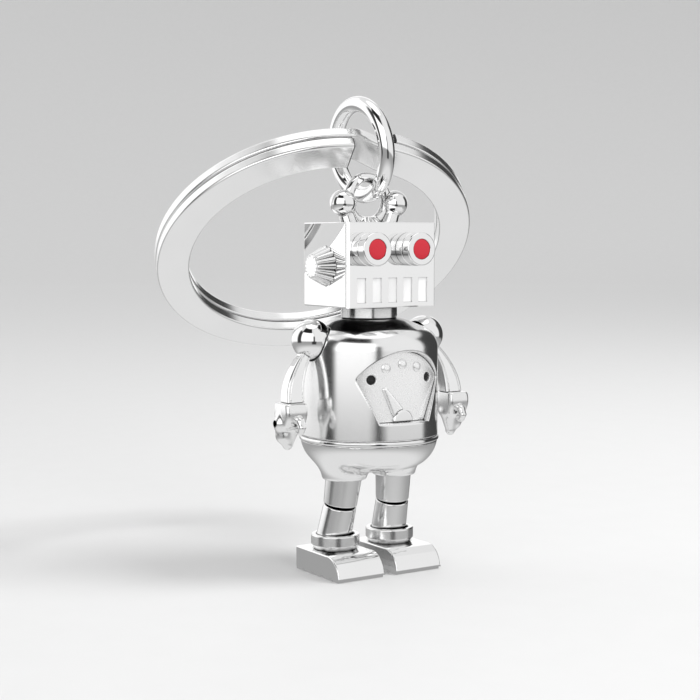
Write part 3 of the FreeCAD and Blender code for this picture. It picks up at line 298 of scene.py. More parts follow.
def finish_material(name, colour, second_colour, roughness, metallic, edge_colour, edge_share,
                    grain=(900, 900, 900), relief=0.02, rough_spread=0.02, coat=0.0,
                    crevice_painted_shade=1.0, crevice_shade_reach=0.0025, crevice_shade_from=0.1, crevice_shade_to=0.5,
                    underside_painted_shade=1.0):
    """A procedural finish: mottled colour, uneven roughness, fine relief and worn edges.

    Below 1.0, the crevice setting paints shade into narrow gaps by darkening the colour with ambient
    occlusion, and the underside setting paints shade onto faces that look straight down.
    """
    material = bpy.data.materials.new(name)
    material.use_nodes = True
    nodes = Nodes(material.node_tree)
    place = nodes.add("ShaderNodeTexCoord").outputs["Object"]
    cloud = nodes.add("ShaderNodeTexNoise", {"Vector": place, "Scale": 260.0, "Detail": 3.0})
    shade = nodes.mix(cloud.outputs[0], colour, second_colour)
    stretched = nodes.add("ShaderNodeMapping", {"Vector": place, "Scale": grain})
    fine = nodes.add("ShaderNodeTexNoise", {"Vector": stretched.outputs[0], "Scale": 3.0,
                                            "Detail": 4.0})
    rough = nodes.fade(fine.outputs[0], 0.3, 0.7, roughness, roughness + rough_spread)
    soft_edge = nodes.add("ShaderNodeBevel", {"Radius": 0.00007}, samples=4)
    true_normal = nodes.add("ShaderNodeNewGeometry").outputs["Normal"]
    agree = nodes.add("ShaderNodeVectorMath", {0: soft_edge.outputs[0], 1: true_normal},
                      operation="DOT_PRODUCT").outputs["Value"]
    edge = nodes.fade(agree, 0.995, 0.85, 0.0, edge_share)
    wear_and_shade = nodes.mix(edge, shade, edge_colour)
    worn_rough = nodes.math("ADD", rough, nodes.math("MULTIPLY", edge, 0.12))
    # Painted shade: ambient occlusion darkens the base colour in narrow gaps, on top of the real edge
    # wear.
    if crevice_painted_shade < 1.0:
        occlusion_share = nodes.add("ShaderNodeAmbientOcclusion", {"Distance": crevice_shade_reach}, samples=6)
        clear = nodes.fade(occlusion_share.outputs["AO"], crevice_shade_from, crevice_shade_to, crevice_painted_shade, 1.0)
        wear_and_shade = nodes.add("ShaderNodeVectorMath", {0: wear_and_shade, "Scale": clear},
                         operation="SCALE").outputs[0]
    # Painted shade: faces that look straight down are darkened by their normal alone.
    if underside_painted_shade < 1.0:
        facing = nodes.add("ShaderNodeSeparateXYZ", {0: true_normal}).outputs["Z"]
        painted_underside_shade = nodes.fade(facing, -0.98, -0.8, underside_painted_shade, 1.0)
        wear_and_shade = nodes.add("ShaderNodeVectorMath", {0: wear_and_shade, "Scale": painted_underside_shade},
                         operation="SCALE").outputs[0]
    bump = nodes.add("ShaderNodeBump", {"Strength": relief, "Distance": 0.00002,
                                        "Height": fine.outputs[0]})
    shader = nodes.add("ShaderNodeBsdfPrincipled", {
        "Base Color": wear_and_shade, "Metallic": metallic, "Roughness": worn_rough,
        "Normal": bump.outputs[0], "Coat Weight": coat, "Coat Roughness": 0.06})
    output = nodes.add("ShaderNodeOutputMaterial")
    material.node_tree.links.new(shader.outputs[0], output.inputs[0])
    return material


def grey(level):
    return (level, level, level, 1.0)


# The crevice settings below paint shade into narrow gaps of each finish.
CHROME = finish_material("polished_chrome", grey(0.96), grey(0.92), 0.02, 1.0, grey(0.98), 0.4,
                         relief=0.01, crevice_painted_shade=0.04)
BARREL = finish_material("barrel_chrome", grey(0.95), grey(0.91), 0.15, 1.0, grey(0.98), 0.3,
                         relief=0.006, crevice_painted_shade=0.03, crevice_shade_reach=0.004, crevice_shade_from=0.12,
                         crevice_shade_to=0.55)
CAST = finish_material("cast_chrome", grey(0.93), grey(0.88), 0.2, 1.0, grey(0.98), 0.4,
                       relief=0.006, crevice_painted_shade=0.12, crevice_shade_reach=0.0015, crevice_shade_to=0.45)
# The head's underside setting paints its downward faces almost black as shade.
HEAD = finish_material("head_chrome", grey(0.97), grey(0.94), 0.02, 1.0, grey(0.98), 0.3,
                       relief=0.008, crevice_painted_shade=0.03, crevice_shade_reach=0.004, crevice_shade_to=0.38,
                       underside_painted_shade=0.06)
SATIN = finish_material("satin_chrome", grey(0.99), grey(0.97), 0.25, 0.75, grey(0.98), 0.3,
                        rough_spread=0.03, relief=0.001)
RING = finish_material("ring_steel", grey(0.95), grey(0.9), 0.17, 1.0, grey(0.97), 0.4,
                       rough_spread=0.03, relief=0.004, crevice_painted_shade=0.08, crevice_shade_reach=0.0016,
                       crevice_shade_from=0.15, crevice_shade_to=0.6)
# Pin steel, darkened to near black so that it also paints the shade in the screw holes and on the split
# ring's cut ends.
PIN_AND_SHADE = finish_material("pin_steel", grey(0.07), grey(0.04), 0.3, 1.0, grey(0.3), 0.4,
                      rough_spread=0.12, relief=0.05, crevice_painted_shade=0.1, crevice_shade_to=0.9)
RED = finish_material("red_enamel", (0.55, 0.014, 0.03, 1), (0.48, 0.01, 0.024, 1), 0.34, 0.0,
                      (0.8, 0.1, 0.1, 1), 0.4, relief=0.04, coat=0.15)
WHITE = finish_material("white_enamel", grey(0.93), grey(0.86), 0.3, 0.0, grey(0.8), 0.4,
                        relief=0.04, coat=0.2)
SLOTS = {"chrome_plate": CHROME, "ring_steel": RING, "pin_steel": PIN_AND_SHADE, "red_enamel": RED,
         "white_enamel": WHITE}


# ---------------------------------------------------------------- head

def build_eyes():
    face = extent("face_plate").low[1]
    for side_name, _ in SIDES:
        barrel = extent("eye_barrel_" + side_name)
        lens = extent("eye_lens_" + side_name)
        radius = barrel.size[0] / 2
        length = face - barrel.low[1]
        slack, sunk = 0.02, 0.16
        groove, groove_floor, groove_mouth = 0.13, 0.03, 0.1
        cup = lens.size[0] / 2 + slack
        depth = length - sunk
        waist = length / 2
        origin = (barrel.mid[0], face, barrel.mid[2])
        points, faces, normals = lathe(origin, (0, -1, 0), [
            (0.7, -0.5, 0.01), (0.7, 0.0, 0.03), (radius - 0.05, 0.0, 0.05), (radius, 0.04, 0.04),
            (radius, waist - groove_mouth, 0.07), (radius - groove, waist - groove_floor, 0.05),
            (radius - groove, waist + groove_floor, 0.05), (radius, waist + groove_mouth, 0.07),
            (radius, length, 0.14), (cup, length, 0.05), (cup, depth, 0.03), (0, depth, 0)])
        piece("eye_barrel_" + side_name + "_look", "head", ["eye_barrel_" + side_name],
              points, faces, normals, CHROME)
        points, faces, normals = lathe((origin[0], face - depth, origin[2]), (0, -1, 0), [
            (0, 0, 0), (cup - slack, 0, 0.01), (cup - slack, 0.12, 0.05), (cup * 0.6, 0.155, 0.3),
            (0, 0.17, 0)])
        piece("eye_lens_" + side_name + "_look", "head", ["eye_lens_" + side_name],
              points, faces, normals, RED)


def build_ears():
    """A truncated cone of sixteen rounded ridges that run out into a flat tip."""
    ridges, along = 16, 22
    around = ridges * 24
    ridge_sharpness, deep_foot, deep_tip, edge, flat_inset = 1.6, 0.4, 0.24, 0.24, 0.62
    for side_name, side in SIDES:
        knob = extent("ear_knob_" + side_name)
        head = extent("head_shell")
        foot_x = head.high[0] if side > 0 else head.low[0]
        length = abs((knob.high[0] if side > 0 else knob.low[0]) - foot_x)
        base, tip = knob.size[2] / 2, 1.22
        turns = np.linspace(0, 2 * math.pi, around, endpoint=False)
        wave = np.abs(np.cos(turns * ridges / 2))
        wave = 1 - (1 - wave) ** ridge_sharpness
        rows = [(np.zeros(around), np.zeros(around)), (np.full(around, 0.5), np.zeros(around))]
        for share in np.linspace(0, 1, along):
            radius = base + (tip - base) * share
            deep = deep_foot + (deep_tip - deep_foot) * share
            rows.append((radius - deep * (1 - wave), np.full(around, share * (length - edge))))
        last = rows[-1][0]
        for angle in np.linspace(0, math.pi / 2, 6)[1:]:
            rows.append((last - edge * (1 - math.cos(angle)),
                         np.full(around, length - edge + edge * math.sin(angle))))
        disc = tip - flat_inset
        rows.extend((np.full(around, r), np.full(around, length)) for r in (disc, disc / 2, 0.0))
        radius = np.array([r for r, _ in rows])
        out = np.array([o for _, o in rows])
        points = np.stack([foot_x + side * out, radius * np.cos(turns) + knob.mid[1],
                           radius * np.sin(turns) + knob.mid[2]], -1)
        down_rows = np.gradient(points, axis=0)
        down_columns = (np.roll(points, -1, 1) - np.roll(points, 1, 1)) / 2
        normals = np.cross(down_rows, down_columns)
        normals /= np.maximum(np.linalg.norm(normals, axis=-1, keepdims=True), 1e-12)
        outward = points - np.array([foot_x, knob.mid[1], knob.mid[2]])
        if (normals * outward)[2:12].sum() < 0:
            normals = -normals
        normals[:2] = (-side, 0, 0)
        normals[-3:] = (side, 0, 0)
        points, faces, normals = sheet(points, normals, poles=(0, len(rows) - 1))
        piece("ear_knob_" + side_name + "_look", "head", ["ear_knob_" + side_name],
              points, faces, normals, CHROME)


LOOP_RADIUS, LOOP_WIRE, LOOP_FOOT = 2.1, 0.5, 1.35
LOOP_LEVEL, LOOP_BACK = 34.9, 0.35


def loop_away(x, z, level, back, wire):
    """The distance from the round wire loop on the head's roof, back being the way off its plane."""
    return np.sqrt((np.sqrt(x ** 2 + (z - level) ** 2) - LOOP_RADIUS) ** 2 + back ** 2) - wire


def build_antennas():
    """A ball on a tapered stem, cut back so that it clears the eye loop and its foot."""
    roof = extent("head_shell").high[2]
    radius, clearance = 1.25, 0.03
    for side_name, side in SIDES:
        antenna = extent("antenna_" + side_name)
        edge = antenna.high[0] if side > 0 else antenna.low[0]
        centre = (edge - side * radius, 0, antenna.high[2] - radius)
        foot = (side * 2.12, 0.0, roof - 0.3)

        def field(x, y, z):
            stem = rod(x, y, z, foot, centre, 0.86, 0.68)
            shape = soft_min(ball(x, y, z, centre, radius), stem, 0.14)
            back = y - LOOP_BACK
            foot_away = np.sqrt(x ** 2 + back ** 2) - (LOOP_FOOT + clearance)
            loop = loop_away(x, z, LOOP_LEVEL, back, LOOP_WIRE + clearance)
            shape = soft_max(shape, -loop, 0.04)
            shape = soft_max(shape, -np.maximum(foot_away, z - roof - 0.6), 0.04)
            return soft_max(shape, roof - z, 0.03)

        low = antenna.low - 0.1
        low[2] = roof - 0.05
        points, faces, normals = skin(field, low, antenna.high + 0.1, 0.055)
        piece("antenna_" + side_name + "_look", "head", ["antenna_" + side_name],
              points, faces, normals, CHROME)


def build_hanging_eye():
    """The wire loop, standing on a low cone on the head's roof."""
    roof = extent("head_shell").high[2]
    eye = extent("hanging_eye")
    level = eye.high[2] - (LOOP_RADIUS + LOOP_WIRE)

    def field(x, y, z):
        back = y - eye.mid[1]
        across = np.sqrt(x ** 2 + back ** 2)
        foot = np.maximum((across - (LOOP_FOOT - (z - roof))) * 0.72, z - roof - 0.5)
        shape = soft_min(loop_away(x, z, level, back, LOOP_WIRE), foot, 0.22)
        return soft_max(shape, roof + 0.003 - z, 0.03)

    low = eye.low - 0.1
    low[2] = roof - 0.05
    points, faces, normals = skin(field, low, eye.high + 0.1, 0.055)
    piece("hanging_eye_look", "head", ["hanging_eye"], points, faces, normals, CHROME)


# ---------------------------------------------------------------- rings

def build_connector_ring():
    """A round wire bent to a link, with the fine seam where its ends meet turned to the back."""
    box = extent("connector_ring")
    wire = 0.75
    radius = box.size[1] / 2 - wire
    tilt = math.radians(7)
    first, second = np.array([0.0, 1.0, 0.0]), np.array([-math.sin(tilt), 0.0, math.cos(tilt)])
    axis = np.cross(first, second)
    seam_at, seam_depth, seam_width = 20.0, 0.05, 0.35
    turns = np.linspace(0, 2 * math.pi, 240, endpoint=False)
    fine = np.radians(seam_at + np.array([-0.6, -0.3, 0.0, 0.3, 0.6]))
    turns = np.sort(np.concatenate([turns, fine]))
    seam = seam_depth * np.exp(-((np.degrees(turns) - seam_at) / seam_width) ** 2)
    ring = np.linspace(0, 2 * math.pi, 48, endpoint=False)
    out = np.cos(turns)[:, None] * first + np.sin(turns)[:, None] * second
    normals = np.cos(ring)[None, :, None] * out[:, None] + np.sin(ring)[None, :, None] * axis
    points = box.mid + radius * out[:, None] + (wire - seam)[:, None, None] * normals
    points, faces, normals = sheet(points, normals, wrap_rows=True)
    piece("connector_ring_look", "connector", ["connector_ring"], points, faces, normals,
          CHROME)


def build_split_ring():
    """Two turns of one flat strip with rounded corners and rounded cut ends, the ends painted dark as
    shade.
    """
    outer, strip, thick, gap, corner = 16.0, 3.2, 1.18, 0.04, 0.3
    end, ramp, phase, soft = 1.0, 14.0, 4.4, 0.14
    link = extent("connector_ring").mid
    centre = np.array([1.46, 12.3, 30.6])
    toward = unit(np.array([0.0, link[1], link[2]]) - centre)
    level = unit(np.cross((0, 0, 1), toward))
    roll = math.radians(175.8)
    side = level * math.cos(roll) + np.cross(toward, level) * math.sin(roll)
    normal = np.cross(toward, side)
    middle = outer - strip / 2
    rise = thick + gap
    last = 720 - ramp - 2 * end
    angles = np.linspace(end, last, 540)

    def section(inset):
        half_w, half_h = strip / 2 - inset, thick / 2 - inset
        return fillets([(half_w, -half_h, corner), (half_w, half_h, corner),
                        (-half_w, half_h, corner), (-half_w, -half_h, corner)], closed=True, steps=6)

    def row(angle, inset=0.0, push=0.0, lean=0.0):
        turn = math.radians(angle + phase)
        share = min(max((angle - 360 + ramp) / ramp, 0.0), 1.0)
        height = rise * (0.5 - share * share * (3 - 2 * share))
        out = toward * math.cos(turn) + side * math.sin(turn)
        ahead = -toward * math.sin(turn) + side * math.cos(turn)
        outline, slopes = section(inset)
        spot = centre + out * middle + normal * height + ahead * push
        points = spot + outline[:, :1] * out + outline[:, 1:] * normal
        slope = slopes[:, :1] * out + slopes[:, 1:] * normal
        facing = ahead * math.copysign(1, push) if push else ahead * 0
        return points, slope * math.cos(lean) + facing * math.sin(lean)

    rows = []
    bends = np.linspace(math.pi / 2, 0, 6)
    for bend in bends[:-1]:
        rows.append(row(angles[0], soft * (1 - math.cos(bend)), -soft * math.sin(bend), bend))
    rows.extend(row(angle) for angle in angles)
    for bend in bends[:-1][::-1]:
        rows.append(row(angles[-1], soft * (1 - math.cos(bend)), soft * math.sin(bend), bend))
    points = np.array([p for p, _ in rows])
    normals = np.array([n for _, n in rows])
    first_cap = np.repeat(points[:1].mean(1, keepdims=True), points.shape[1], 1)
    last_cap = np.repeat(points[-1:].mean(1, keepdims=True), points.shape[1], 1)
    points = np.concatenate([first_cap, points, last_cap])
    normals = np.concatenate([normals[:1], normals, normals[-1:]])
    columns, end_rows = points.shape[1], len(bends)
    points, faces, normals = sheet(points, normals, poles=(0, len(points) - 1))
    ring = piece("split_ring_look", "key_ring", ["split_ring"], points, faces, normals, RING)
    # Painted shade: the cut ends get the near-black pin finish to stand for the shade they sit in.
    ring.data.materials.append(PIN_AND_SHADE)
    shaded_cut_faces = end_rows * columns
    for face in list(ring.data.polygons[:shaded_cut_faces]) + list(ring.data.polygons[-shaded_cut_faces:]):
        face.material_index = 1


# ---------------------------------------------------------------- torso and gauge

torso = extent("torso_shell")
TORSO_RADIUS = torso.size[0] / 2
TORSO_TOP, TORSO_BOTTOM = torso.high[2], torso.low[2]
DOME_RADIUS, DOME_EDGE, DOME_ROUND = 3.0, TORSO_TOP - 1.32, 2.0
FLOOR_RADIUS, FLOOR_FRONT, PANEL_THICK = 10.7, 5.5, 0.45
PANEL_GAP, DIAL_GAP = 0.02, 0.012
SCREW_ACROSS, SCREW_LEVEL, SCREW_RADIUS, SCREW_DEPTH = 3.1, 18.6, 0.44, 0.34
HUB_RADIUS, HUB_HEIGHT = 1.05, 0.32
NEEDLE_START, NEEDLE_END, NEEDLE_BASE, NEEDLE_TIP, NEEDLE_HEIGHT = 1.08, 3.7, 0.68, 0.24, 0.2
SHOULDER = extent("shoulder_ball_left")


def fan_outline(x, z, inset=0.0):
    """The sideways distance from the gauge's fan outline, negative inside."""
    foot, low, corner_x, corner_z, apex = 2.62, 14.66, 4.42, 18.6, 21.1
    lean = unit((corner_x - foot, corner_z - low))
    across = np.abs(x)
    slant = (across - foot) * lean[1] - (z - low) * lean[0]
    drop = apex - corner_z
    arc = (corner_x ** 2 + drop ** 2) / (2 * drop)
    top = np.sqrt(x ** 2 + (z - apex + arc) ** 2) - arc
    shape = soft_max(soft_max(slant, low - z, 0.12), top, 0.3)
    return shape + inset


def floor_away(x, y, lift=0.0):
    """How far a point stands in front of the dial's curved floor."""
    return np.sqrt(x ** 2 + (y - FLOOR_RADIUS + FLOOR_FRONT) ** 2) - FLOOR_RADIUS - lift


def dial_spot(x, z):
    """A point on the dial's face and the direction straight out of it."""
    angle = math.asin(x / FLOOR_RADIUS)
    out = np.array([math.sin(angle), -math.cos(angle), 0.0])
    return np.array([0.0, FLOOR_RADIUS - FLOOR_FRONT, z]) + out * FLOOR_RADIUS, out


def barrel(x, y, z):
    """The barrel: upright wall, round shoulder, shallow cone up to the flat neck seat."""
    across = np.sqrt(x ** 2 + y ** 2)
    slope = unit((DOME_EDGE - TORSO_TOP, DOME_RADIUS - TORSO_RADIUS)) * -1
    wall = across - TORSO_RADIUS
    cone = (across - TORSO_RADIUS) * slope[0] + (z - DOME_EDGE) * slope[1]
    centre_z = DOME_EDGE + (-DOME_ROUND + DOME_ROUND * slope[0]) / slope[1]
    u, v = across - TORSO_RADIUS + DOME_ROUND, z - centre_z
    bend = np.sqrt(u ** 2 + v ** 2) - DOME_ROUND
    shape = np.where((v > 0) & (u * slope[1] - v * slope[0] > 0), bend, np.maximum(wall, cone))
    shape = soft_max(shape, z - TORSO_TOP, 0.3)
    return soft_max(shape, TORSO_BOTTOM - z, 0.1)


def build_torso():
    reach = SHOULDER.size[2] / 2 + 0.06

    def field(x, y, z):
        shape = barrel(x, y, z)
        hollow = np.maximum(np.maximum(fan_outline(x, z), -floor_away(x, y, -PANEL_THICK)), y + 2)
        shape = soft_max(shape, -hollow, 0.2)
        socket = ball(np.abs(x), y, z, (SHOULDER.mid[0], 0, SHOULDER.mid[2]), reach)
        return soft_max(shape, -socket, 0.12)

    points, faces, normals = skin(field, torso.low - 0.1, torso.high + 0.1, 0.1)
    piece("torso_shell_look", "torso", ["torso_shell"], points, faces, normals, BARREL)

    belt = extent("waist_band")
    radius, half = belt.size[0] / 2, belt.size[2] / 2
    points, faces, normals = lathe((0, 0, belt.mid[2]), (0, 0, 1), [
        (4.8, -half, 0.03), (radius, -half, half * 0.8), (radius, half, half * 0.8), (4.8, half, 0.03)],
        closed=True, segments=160)
    piece("waist_band_look", "torso", ["waist_band"], points, faces, normals, CHROME)


def build_gauge():
    def plate(x, y, z):
        front = floor_away(x, y)
        back = -floor_away(x, y, -PANEL_THICK + PANEL_GAP)
        shape = soft_max(fan_outline(x, z, PANEL_GAP), front, 0.05)
        shape = np.maximum(np.maximum(shape, back), y + 2)
        for side in (1, -1):
            spot, out = dial_spot(side * SCREW_ACROSS, SCREW_LEVEL)
            along = (x - spot[0]) * out[0] + (y - spot[1]) * out[1]
            away = np.sqrt(((x - spot[0]) * out[1] - (y - spot[1]) * out[0]) ** 2 + (z - spot[2]) ** 2)
            hole = np.maximum(away - SCREW_RADIUS, -along - SCREW_DEPTH)
            shape = soft_max(shape, -hole, 0.07)
        return soft_max(shape, np.sqrt(x ** 2 + y ** 2) - TORSO_RADIUS + PANEL_GAP, 0.05)

    box = extent("gauge_panel")
    points, faces, normals = skin(plate, box.low - 0.1, box.high + 0.1, 0.055)
    piece("gauge_panel_look", "torso", ["gauge_panel"], points, faces, normals, SATIN)

    parts = []
    for x, z in ((-1.7, 19.64), (0.0, 19.96), (1.7, 19.64)):
        spot, out = dial_spot(x, z)
        parts.append(lathe(spot, out, [(0, DIAL_GAP, 0), (0.5, DIAL_GAP, 0.01), (0.44, 0.03, 0.2),
                                       (0.3, 0.13, 0.3), (0, 0.17, 0)], segments=48, steps=5))
    points, faces, normals = joined(parts)
    piece("gauge_lamps_look", "torso", ["gauge_lamps"], points, faces, normals, SATIN)

    hub_box = extent("gauge_hub")
    level = hub_box.low[2]

    def hub(x, y, z):
        disc = np.sqrt(x ** 2 + (z - level) ** 2) - HUB_RADIUS
        height = floor_away(x, y)
        shape = soft_max(disc, height - HUB_HEIGHT, 0.2)
        shape = soft_max(shape, level - z, 0.06)
        return np.maximum(np.maximum(shape, DIAL_GAP - height), y + 2)

    points, faces, normals = skin(hub, hub_box.low - 0.1, hub_box.high + 0.1, 0.04)
    piece("gauge_hub_look", "torso", ["gauge_hub"], points, faces, normals, CHROME)

    needle_box = extent("gauge_needle")
    lean = math.radians(-32)

    def needle(x, y, z):
        along = x * math.sin(lean) + (z - level) * math.cos(lean)
        across = np.abs(x * math.cos(lean) - (z - level) * math.sin(lean))
        height = floor_away(x, y)
        share = np.clip((along - NEEDLE_START) / (NEEDLE_END - NEEDLE_START), 0, 1)
        half = NEEDLE_BASE + (NEEDLE_TIP - NEEDLE_BASE) * share
        shape = soft_max(across - half, along - NEEDLE_END, 0.15)
        shape = soft_max(shape, height - NEEDLE_HEIGHT, 0.3)
        shape = np.maximum(np.maximum(shape, DIAL_GAP - height), y + 2)
        return soft_max(shape, NEEDLE_START - np.sqrt(x ** 2 + (z - level) ** 2), 0.04)

    points, faces, normals = skin(needle, needle_box.low - 0.1, needle_box.high + 0.1, 0.04)
    piece("gauge_needle_look", "torso", ["gauge_needle"], points, faces, normals, SATIN)


def joined(parts):
    """Several shells as one mesh."""
    points, faces, normals, start = [], [], [], 0
    for p, f, n in parts:
        points.append(p)
        normals.append(n)
        faces.extend([v + start for v in face] for face in f)
        start += len(p)
    return np.concatenate(points), faces, np.concatenate(normals)


def build_collar():
    box = extent("neck_collar")
    radius, low, high = box.size[0] / 2, box.low[2], box.high[2]
    points, faces, normals = lathe((0, 0, 0), (0, 0, 1), [
        (0.8, low, 0.02), (radius, low, 0.1), (radius, high, 0.12), (0.8, high, 0.02)],
        closed=True, segments=160)
    piece("neck_collar_look", "torso", ["neck_collar"], points, faces, normals, BARREL)


# ---------------------------------------------------------------- arms

def build_arms():
    """A shoulder ball, a bowed bar grooved inside its edge, and a mitten with a curled thumb."""
    for side_name, side in SIDES:
        shoulder = extent("shoulder_ball_" + side_name)
        radius = shoulder.size[2] / 2
        centre = shoulder.mid
        body = side_name + "_arm"
        points, faces, normals = lathe(centre, (-side, 0, 0), [
            (0, -radius, 0)] + [(radius * math.sin(t), -radius * math.cos(t), radius)
                                for t in np.linspace(0, math.pi, 48)[1:-4]]
            + [(radius * 0.2, radius * 0.985, 0.05), (0, radius * 0.985, 0)], steps=1, segments=96)
        normals = unit_rows(points - centre)
        piece("shoulder_ball_" + side_name + "_look", body, ["shoulder_ball_" + side_name],
              points, faces, normals, CHROME)

        arm = extent("arm_" + side_name)
        wrist = arm.low[2]
        levels = (20.9, 18.8, wrist)

        def bar(x, y, z, side=side, centre=centre, wrist=wrist):
            x = x * side
            across = np.abs(x - through(levels, (7.2, 8.45, 8.85), z))
            deep = np.abs(y - through(levels, (-0.3, -0.6, -0.87), z))
            half = through(levels, (0.56, 0.8, 0.93), z)
            half_deep = through(levels, (0.5, 0.62, 0.74), z)
            shape = soft_max(across - half, deep - half_deep, 0.24)
            groove = np.exp(-((across - half + 0.3) / 0.06) ** 2) * (deep > half_deep * 0.6)
            shape = shape + 0.05 * groove
            shape = soft_max(shape, -ball(x, y, z, (abs(centre[0]), 0, centre[2]), radius + 0.01), 0.06)
            return soft_max(soft_max(shape, wrist - z, 0.06), z - 21.4, 0.05)

        points, faces, normals = skin(bar, arm.low - 0.15, arm.high + (0.15, 0.15, 0.5), 0.06)
        piece("arm_" + side_name + "_look", body, ["arm_" + side_name], points, faces, normals,
              CHROME)

        hand = extent("hand_" + side_name)
        middle_x, middle_y, cuff_top, cuff_bottom = 9.1, -0.9, 16.55, 14.1

        def mitten(x, y, z, side=side, wrist=wrist):
            x = x * side - middle_x
            y = y - middle_y
            rows = (cuff_top, 15.4, cuff_bottom)
            half = through(rows, (1.1, 1.14, 0.92), z)
            deep = through(rows, (1.2, 1.3, 0.95), z)
            front = through(rows, (0.0, -0.05, 0.25), z)
            cuff = soft_max(np.abs(x) - half, np.abs(y - front) - deep, 0.5)
            cuff = soft_max(soft_max(cuff, z - cuff_top, 0.22), cuff_bottom - z, 0.5)
            lobe = rod_chain(x, y, z, [(0.72, 0.2, 15.7), (0.86, 0.25, 14.7), (0.62, 0.35, 13.5),
                                       (0.12, 0.4, 12.55)], [0.4, 0.62, 0.56, 0.36], 0.4)
            palm = rod(x, y, z, (-0.2, 0.2, 14.5), (0.0, 0.35, 12.8), 0.9, 0.42)
            shape = soft_min(soft_min(palm, lobe, 0.3), cuff, 0.25)
            thumb = rod_chain(x, y, z, [(-0.1, -0.9, 15.2), (-0.1, -1.55, 14.95), (-0.1, -1.85, 14.45),
                                        (-0.1, -1.6, 14.05), (-0.1, -1.2, 14.1)],
                              [0.42, 0.4, 0.36, 0.33, 0.28], 0.04)
            return soft_min(shape, thumb, 0.06)

        low, high = hand.low - 0.3, hand.high + 0.3
        points, faces, normals = skin(mitten, low, high, 0.06)
        piece("hand_" + side_name + "_look", body, ["hand_" + side_name], points, faces, normals,
              CAST)


# ---------------------------------------------------------------- pelvis and legs

def heading(lean, splay, side):
    """Downward direction that leans back and splays outward."""
    back, out = math.radians(lean), math.radians(splay) * side
    return np.array([math.sin(out), math.cos(out) * math.sin(back), -math.cos(out) * math.cos(back)])


HIP_Y, HIP_LEVEL, HIP_SPREAD, THIGH = -0.05, 9.55, 2.78, 1.72
THIGH_LENGTH, THIGH_LEAN, THIGH_SPLAY = 3.1, 8.4, 3.4
SHIN_LEAN, SHIN_SPLAY, KNEE_GAP = 13.0, 2.4, 0.14
KNEE_RADIUS, SHIN_FOOT_RADIUS = 1.58, 1.7


def build_pelvis():
    """A bowl with two tapered bosses, hollowed for the swing of the thighs."""
    rim = extent("waist_band").low[2]
    bowl_x, bowl_z, bowl_r = 3.357, 12.933, 3.111
    boss_radius, boss_taper = 2.05, math.tan(math.radians(14))
    boss_bottom, boss_top, thigh_slack = 8.9, 11.2, 0.06

    def field(x, y, z):
        across = np.sqrt(x ** 2 + y ** 2)
        bowl = np.sqrt(np.maximum(across - bowl_x, 0) ** 2 + np.minimum(z - bowl_z, 0) ** 2) - bowl_r
        bowl = soft_max(bowl, z - rim + 0.01, 0.06)
        away = np.sqrt((np.abs(x) - HIP_SPREAD) ** 2 + (y - HIP_Y) ** 2)
        boss = (away - boss_radius - (z - boss_bottom) * boss_taper) * 0.97
        boss = soft_max(soft_max(boss, boss_bottom - z, 0.25), z - boss_top, 0.1)
        shape = soft_min(bowl, boss, 0.8)
        start = (HIP_SPREAD, HIP_Y, HIP_LEVEL)
        room = None
        for swing in (-8, -4, 0, 4, 8):
            end = np.array(start) + heading(THIGH_LEAN + swing, THIGH_SPLAY, 1) * 4
            sleeve = rod(np.abs(x), y, z, start, end, THIGH + thigh_slack, THIGH + thigh_slack)
            room = sleeve if room is None else np.minimum(room, sleeve)
        return soft_max(shape, -room, 0.1)

    box = extent("pelvis")
    high = box.high.copy()
    high[2] = rim
    points, faces, normals = skin(field, box.low - 0.1, high + 0.1, 0.1)
    piece("pelvis_look", "torso", ["pelvis"], points, faces, normals, BARREL)


def build_legs():
    """Leaning thighs and shins with a closed seam between them, and the ankle cuffs."""
    for side_name, side in SIDES:
        body = side_name + "_leg"
        hip = np.array([side * HIP_SPREAD, HIP_Y, HIP_LEVEL])
        down = heading(THIGH_LEAN, THIGH_SPLAY, side)
        crown = [(THIGH * math.sin(t), -THIGH * math.cos(t), THIGH)
                 for t in np.linspace(0, math.pi / 2, 16)[1:]]
        points, faces, normals = lathe(hip, down, [(0, -THIGH, 0)] + crown
                                       + [(KNEE_RADIUS, THIGH_LENGTH, 0.12), (0, THIGH_LENGTH, 0)],
                                       steps=5)
        piece("thigh_" + side_name + "_look", body, ["thigh_" + side_name], points, faces, normals,
              BARREL)

        knee = hip + down * THIGH_LENGTH
        shin_down = heading(SHIN_LEAN, SHIN_SPLAY, side)
        cuff = extent("ankle_cuff_" + side_name)
        seat = cuff.high[2] - 0.42
        length = (knee[2] - seat) / -shin_down[2] + 0.5
        points, faces, normals = lathe(knee + shin_down * KNEE_GAP, shin_down, [
            (0, 0, 0), (1.56, 0, 0.12), (SHIN_FOOT_RADIUS, length, 0.02), (0, length, 0)])
        points[:, 2] = np.maximum(points[:, 2], seat)
        piece("shin_" + side_name + "_look", body, ["shin_" + side_name], points, faces, normals,
              BARREL)

        radius, low, top = cuff.size[0] / 2, cuff.low[2], cuff.high[2]
        points, faces, normals = lathe((cuff.mid[0], cuff.mid[1], 0), (0, 0, 1), [
            (0.72, low, 0.02), (2.0, low, 0.05), (radius, top - 0.97, 0.2), (radius, top, 0.14),
            (1.8, top, 0.12), (1.8, seat, 0.03), (0.72, seat, 0.02)], closed=True, segments=144)
        piece("ankle_cuff_" + side_name + "_look", body, ["ankle_cuff_" + side_name],
              points, faces, normals, CAST)


# ---------------------------------------------------------------- studio

